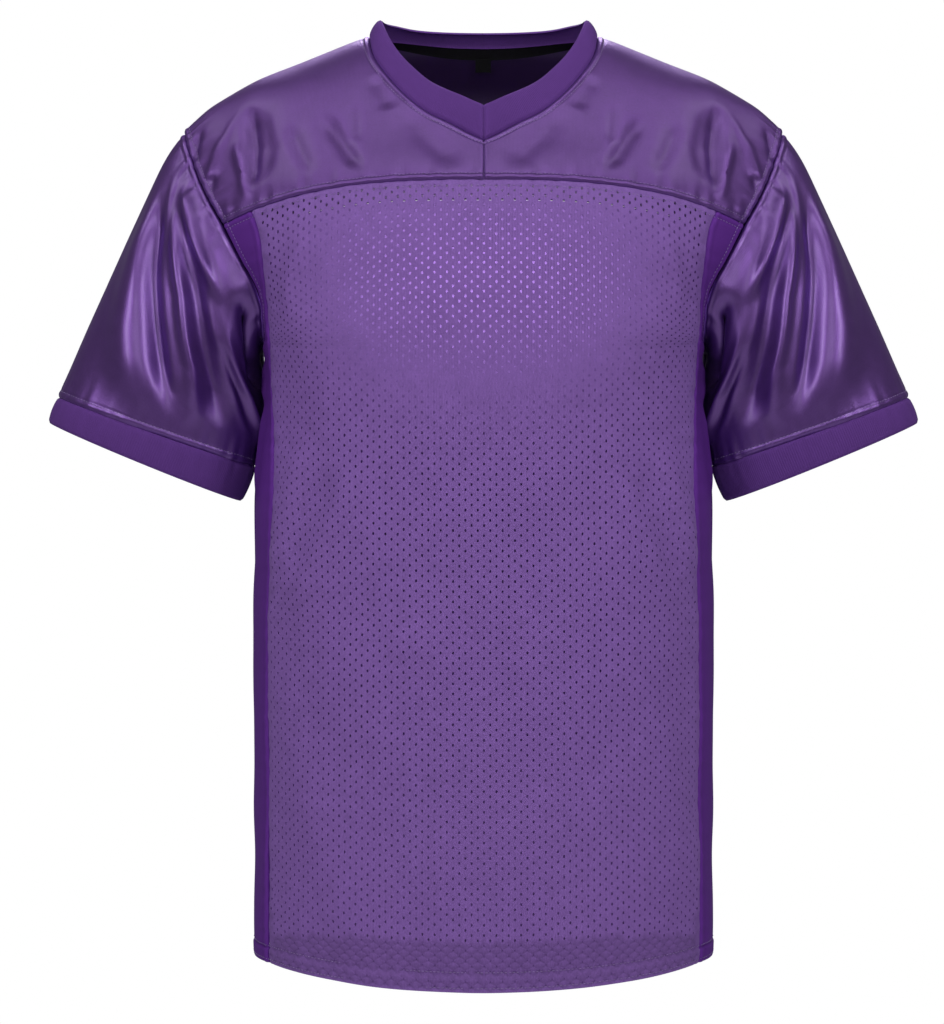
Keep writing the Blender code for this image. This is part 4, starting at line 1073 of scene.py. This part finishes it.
def cuff():
    turns = CUFF_TURNS[None]
    lean = (np.cos(2 * np.pi * turns) + 1) / 2
    rise = AXIS * (CUFF_INNER + (CUFF_OUTER - CUFF_INNER) * lean)[..., None]
    length = np.linalg.norm(rise, axis=-1)
    t = np.maximum(steps(0.0, (0.12, 4), (0.86, 10), (1.0, 6))[:, None], GAP / 2 / length)
    round_ = plain_sleeve(turns + 0.004, 1.0) - plain_sleeve(turns - 0.004, 1.0)
    own = unit(np.cross(round_, rise))
    lift = rib_roll(t, length, 0.0013, (0.0014, -0.0010), (0.0014, -0.0010))
    lift += pucker(t * length, turns * CUFF_ROUND, 0.015, 0.00015)
    points = plain_sleeve(turns, 1.0) + rise * t[..., None] + own * lift[..., None]
    normals = np.repeat(own, len(t), axis=0)
    uv = np.stack((turns * CUFF_ROUND + 0 * t, t * length), -1)
    quads = grid_quads(*t.shape, closed=True, flip=True)
    return shell("cuff_rib_left", points, normals, uv, quads, sizes().rib_wall, cloth("rib"))


# ---- stitching


def stitch_tree():
    """Geometry Nodes that lay one stitch on each point, turned along the seam."""
    sizes_in = ("Length", "Float", 0.0023), ("Thickness", "Float", 0.0006)
    tree, net, given, out = new_group(
        "Stitching",
        "GeometryNodeTree",
        (("Points", "Geometry"), *sizes_in, ("Thread", "Material")),
        (("Stitches", "Geometry"),),
    )
    ball = net.add("GeometryNodeMeshUVSphere", {"Segments": 6, "Rings": 4, "Radius": 0.5})
    size = net.add("ShaderNodeCombineXYZ", {0: given["Length"], 1: given["Thickness"], 2: given["Thickness"]})
    read, vector = "GeometryNodeInputNamedAttribute", {"data_type": "FLOAT_VECTOR"}
    ways = [net.add(read, {"Name": name}, **vector)["Attribute"] for name in ("seam_run", "seam_up")]
    ways = dict(enumerate(ways))
    turn = net.add("FunctionNodeAxesToRotation", ways, primary_axis="X", secondary_axis="Z")
    inputs = {"Points": given["Points"], "Instance": ball["Mesh"], "Rotation": turn[0], "Scale": size[0]}
    real = net.add("GeometryNodeRealizeInstances", {0: net.add("GeometryNodeInstanceOnPoints", inputs)[0]})
    paint = net.add("GeometryNodeSetMaterial", {"Geometry": real[0], "Material": given["Thread"]})
    net.set(out, {0: paint[0]})
    return tree


def thread_material():
    if "thread" in bpy.data.materials:
        return bpy.data.materials["thread"]
    made, net, shader = new_material("thread")
    place = net.add("ShaderNodeTexCoord")["Object"]
    value = net.ranged(net.noise(place, 260, 2), 0.3, 0.7, 0.75, 1.25)
    inputs = {
        "Base Color": net.toned((*colours().thread, 1), value),
        "Roughness": 0.45,
        "Sheen Weight": 0.3,
        "Normal": net.bumped(net.noise(place, 2600, 1), 0.4, 0.0002),
    }
    net.set(shader, inputs)
    return made


def read_along(run, values, where):
    return np.stack([np.interp(where, run, column) for column in values.T], -1)


def stitches(name, lines):
    """Rows of stitches along lines of (points, normals), on both sides of the jersey."""
    s, scene = sizes(), bpy.context.scene
    graph = bpy.context.evaluated_depsgraph_get()
    rows, step, above = [], 0.0005, 0.004
    for points, normals in lines:
        run = run_along(points)
        at = np.arange(s.stitch_pitch / 2, run[-1], s.stitch_pitch)
        places, ups = read_along(run, points, at), unit(read_along(run, normals, at))
        for i, (spot, up) in enumerate(zip(places, ups)):
            start = Vector(spot + up * above)
            hit, found = scene.ray_cast(graph, start, Vector(-up), distance=2 * above)[:2]
            places[i] = found if hit else spot
        ahead = read_along(run, points, at + step) - read_along(run, points, at - step)
        rows.append((places + ups * s.thread * 0.12, unit(ahead), ups))
    places, runs, ups = (np.concatenate((x, x * MIRROR)) for x in map(np.concatenate, zip(*rows)))
    mesh = bpy.data.meshes.new(name)
    mesh.from_pydata(places.tolist(), [], [])
    for label, values in (("seam_run", runs), ("seam_up", ups)):
        layer = mesh.attributes.new(label, "FLOAT_VECTOR", "POINT")
        layer.data.foreach_set("vector", values.astype(np.float32).reshape(-1))
    holder = placed(name + "_points", mesh)
    sew = holder.modifiers.new("Stitching", "NODES")
    sew.node_group = once("Stitching", stitch_tree)
    sockets = sew.node_group.interface.items_tree
    names = {item.name: item.identifier for item in sockets if item.in_out == "INPUT"}
    sew[names["Length"]] = s.stitch_length
    sew[names["Thickness"]] = s.thread
    sew[names["Thread"]] = thread_material()
    graph = bpy.context.evaluated_depsgraph_get()
    made = bpy.data.meshes.new_from_object(holder.evaluated_get(graph))
    bpy.data.objects.remove(holder, do_unlink=True)
    made.name = name
    made.shade_smooth()
    piece = placed(name, made)
    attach(piece, "root")


# ---- operators


class JerseyMeshPanels(bpy.types.Operator):
    """Make the perforated front and back panels"""

    bl_idname = "jersey.mesh_panels"
    bl_label = "Mesh panels"

    def execute(self, context):
        for place, side, flat in (("front", 1, (0.425, 0.645)), ("back", -1, (0.410, 0.645))):
            piece = perforated_panel(f"{place}_mesh", side)
            declare(piece, f"{place}_mesh_panel", "mesh", flat, rests=("yoke",))
        return {"FINISHED"}


class JerseySidePanels(bpy.types.Operator):
    """Make the two smooth side panels"""

    bl_idname = "jersey.side_panels"
    bl_label = "Side panels"

    def execute(self, context):
        held_by = ("front_mesh_panel", "back_mesh_panel")
        declare_pair(side_panel(), "side_panel_{}", "side_cloth", (0.165, 0.645), area=0.078, rests=held_by)
        return {"FINISHED"}


class JerseyYoke(bpy.types.Operator):
    """Make the satin yoke that wraps over the shoulders"""

    bl_idname = "jersey.yoke"
    bl_label = "Yoke"

    def execute(self, context):
        declare(yoke(), "yoke", "satin", (0.56, 0.40), area=0.145)
        return {"FINISHED"}


class JerseyNeck(bpy.types.Operator):
    """Make the collar, the tape inside the neck and its bare label"""

    bl_idname = "jersey.neck"
    bl_label = "Neck"

    def execute(self, context):
        declare(collar(), "collar", "rib", (0.58, 0.0225), held="stretched", rests=("yoke",))
        declare(neck_tape(), "neck_tape", "tape", (0.28, 0.0135), held="laid", rests=("yoke",))
        declare(neck_label(), "neck_label", "tape", (0.013, 0.012), rests=("neck_tape",))
        return {"FINISHED"}


class JerseySleeves(bpy.types.Operator):
    """Make the two satin sleeves"""

    bl_idname = "jersey.sleeves"
    bl_label = "Sleeves"

    def execute(self, context):
        declare_pair(sleeve(), "sleeve_{}", "satin", (0.52, 0.26), area=0.078, rests=("yoke",))
        return {"FINISHED"}


class JerseyCuffs(bpy.types.Operator):
    """Make the two rib cuffs"""

    bl_idname = "jersey.cuffs"
    bl_label = "Cuffs"

    def execute(self, context):
        declare_pair(cuff(), "cuff_{}", "rib", (0.455, 0.0275), held="stretched", rests=("sleeve_{}",))
        return {"FINISHED"}


class JerseyStitching(bpy.types.Operator):
    """Sew the top stitching along the seams and the hem"""

    bl_idname = "jersey.stitching"
    bl_label = "Stitching"

    def execute(self, context):
        # Beside the collar
        _, points, normals = yoke_face(NECK_STITCH_AWAY + 0 * RAY_LENGTH)
        stitches("stitching_neck", [(points[:, 0], normals[:, 0])])
        # Both sides of the yoke's seams
        across, rows = np.linspace(0.001, 0.993, 160), []
        for seam, side in ((SEAM_FRONT, 1), (SEAM_BACK, -1)):
            for away, rise in ((-STITCH_AWAY, 0.0008), (STITCH_AWAY, 0.0005)):
                down = 0 * across + seam + side * away
                rows.append(on_body(across, down, seam_roll(STITCH_AWAY, rise)))
        stitches("stitching_yoke", rows)
        # Round the armholes, on the body's side
        down = np.linspace(ARMPIT_BACK + 0.006, ARMPIT_FRONT - 0.006, 240)
        row = on_body(1 - STITCH_AWAY / row_length(down), down, seam_roll(STITCH_AWAY, 0.0006))
        stitches("stitching_armholes", [row])
        # Above the cuffs
        turns, share = np.append(CUFF_TURNS, CUFF_TURNS[0] + 1), 0.03
        back = np.linalg.norm(plain_sleeve(turns, 1.0) - plain_sleeve(turns, 1 - share), axis=1)
        along = 1 - share * CUFF_STITCH_AWAY / back
        points, normals = sleeve_frame(turns, along)
        lift = sleeve_lift(turns, along, SLEEVE_LONG, CUFF_STITCH_AWAY)
        stitches("stitching_cuffs", [(points + normals * lift[:, None], normals)])
        # Two rows along the hem
        across, rows = np.linspace(0.0005, 1.0, 200), []
        for away in (HEM_BAND + 0.0022, HEM_STITCH_AWAY):
            rows.append(on_body(across, 0 * across + HEM_FRONT - away))
            rows.append(on_body(across[::-1], 0 * across + HEM_BACK + away * BACK_STITCHES_FARTHER))
        stitches("stitching_hem", rows)
        return {"FINISHED"}


# Name, place, aim, width, height, power and spread of each soft light
LIGHTS = (
    ("front", (0.0, -3.4, 0.60), (0.0, 0.0, -0.20), 2.2, 1.2, 6.5, 120),
    ("steep", (0.0, -1.5, 1.5), (0.0, 0.0, -0.25), 1.5, 0.7, 3.2, 120),
    ("top", (0.0, -0.60, 1.75), (0.0, 0.0, -0.1), 1.8, 0.6, 2.5, 120),
    ("left", (-2.0, -2.1, 0.60), (0.0, 0.0, -0.25), 0.55, 1.4, 8.0, 120),
    ("right", (2.0, -2.1, 0.60), (0.0, 0.0, -0.25), 0.55, 1.4, 8.0, 120),
    ("left_rim", (-1.5, -0.2, 1.7), (-0.2, 0.0, -0.1), 0.7, 0.7, 2.2, 120),
    ("right_rim", (1.5, -0.2, 1.7), (0.2, 0.0, -0.1), 0.7, 0.7, 2.2, 120),
    ("behind", (0.0, 2.3, 1.7), (0.0, 0.0, -0.4), 1.3, 0.8, 11.0, 120),
    ("within", (0.0, -0.02, -0.185), (0.0, 1.0, -0.165), 0.25, 0.09, 0.22, 90),
)
FLOOR_RADIUS, FLOOR_LEVEL, FLOOR_SIDES = 2.2, -1.42, 96


class JerseyStage(bpy.types.Operator):
    """Set the floor, the soft lights, the backdrop and the camera"""

    bl_idname = "jersey.stage"
    bl_label = "Studio"

    def execute(self, context):
        scene = context.scene
        scene.view_settings.view_transform = "Standard"
        mesh = bpy.data.meshes.new("floor")
        turns = np.linspace(0, 2 * np.pi, FLOOR_SIDES + 1)[:-1]
        rim = [(FLOOR_RADIUS * np.cos(a), FLOOR_RADIUS * np.sin(a), FLOOR_LEVEL) for a in turns]
        mesh.from_pydata(rim, [], [tuple(range(FLOOR_SIDES))])
        pale, net, shader = new_material("pale_floor")
        grain = net.noise(net.add("ShaderNodeTexCoord")["Object"], 9, 3)
        rough = net.ranged(grain, 0.3, 0.7, 0.55, 0.7)
        net.set(shader, {"Base Color": (0.86, 0.86, 0.87, 1), "Roughness": rough})
        mesh.materials.append(pale)
        placed("floor", mesh)
        for name, spot, aim, wide, high, power, spread in LIGHTS:
            lamp = bpy.data.lights.new(name, "AREA")
            lamp.shape, lamp.size, lamp.size_y, lamp.energy = "RECTANGLE", wide, high, power
            lamp.spread = np.radians(spread)
            holder = placed(name, lamp)
            holder.location = spot
            holder.rotation_euler = (Vector(aim) - Vector(spot)).to_track_quat("-Z", "Y").to_euler()
            holder.visible_camera = False
        # The camera sees a white backdrop, and the cloth a dim one
        scene.world = bpy.data.worlds.new("studio")
        scene.world.use_nodes = True
        net = Net(scene.world.node_tree)
        net.nodes.clear()
        white = net.add("ShaderNodeBackground", {0: (1, 1, 1, 1), 1: 1.0})[0]
        dim = net.add("ShaderNodeBackground", {0: (0.95, 0.93, 1.0, 1), 1: 0.15})[0]
        seen = net.add("ShaderNodeLightPath")["Is Camera Ray"]
        net.add("ShaderNodeOutputWorld", {0: net.add("ShaderNodeMixShader", {0: seen, 1: dim, 2: white})[0]})
        lens = bpy.data.cameras.new("camera")
        lens.lens, lens.sensor_width = 128.6, 36
        scene.camera = placed("camera", lens)
        scene.camera.location = EYE
        scene.camera.rotation_euler = (np.pi / 2, 0, 0)
        return {"FINISHED"}


class JerseyPanel(bpy.types.Panel):
    """Sizes, colours and makers of the jersey"""

    bl_idname = "VIEW3D_PT_jersey"
    bl_label = "Jersey"
    bl_space_type = "VIEW_3D"
    bl_region_type = "UI"
    bl_category = "Jersey"

    def draw(self, context):
        for group in (sizes(), colours()):
            box = self.layout.box()
            for name in group.bl_rna.properties.keys():
                if name not in ("rna_type", "name"):
                    box.prop(group, name)
        for maker in MAKERS:
            self.layout.operator(maker.bl_idname)


GARMENT = (JerseyMeshPanels, JerseySidePanels, JerseyYoke, JerseyNeck, JerseySleeves, JerseyCuffs)
MAKERS = (*GARMENT, JerseyStitching, JerseyStage)
CLASSES = (JerseySizes, JerseyColours, *MAKERS, JerseyPanel)


def register():
    for made in CLASSES:
        bpy.utils.register_class(made)
    bpy.types.Scene.jersey_sizes = bpy.props.PointerProperty(type=JerseySizes)
    bpy.types.Scene.jersey_colours = bpy.props.PointerProperty(type=JerseyColours)


def unregister():
    del bpy.types.Scene.jersey_sizes, bpy.types.Scene.jersey_colours
    for made in reversed(CLASSES):
        bpy.utils.unregister_class(made)


def main():
    register()
    for maker in MAKERS:
        group, name = maker.bl_idname.split(".")
        getattr(getattr(bpy.ops, group), name)()


if __name__ == "__main__":
    main()
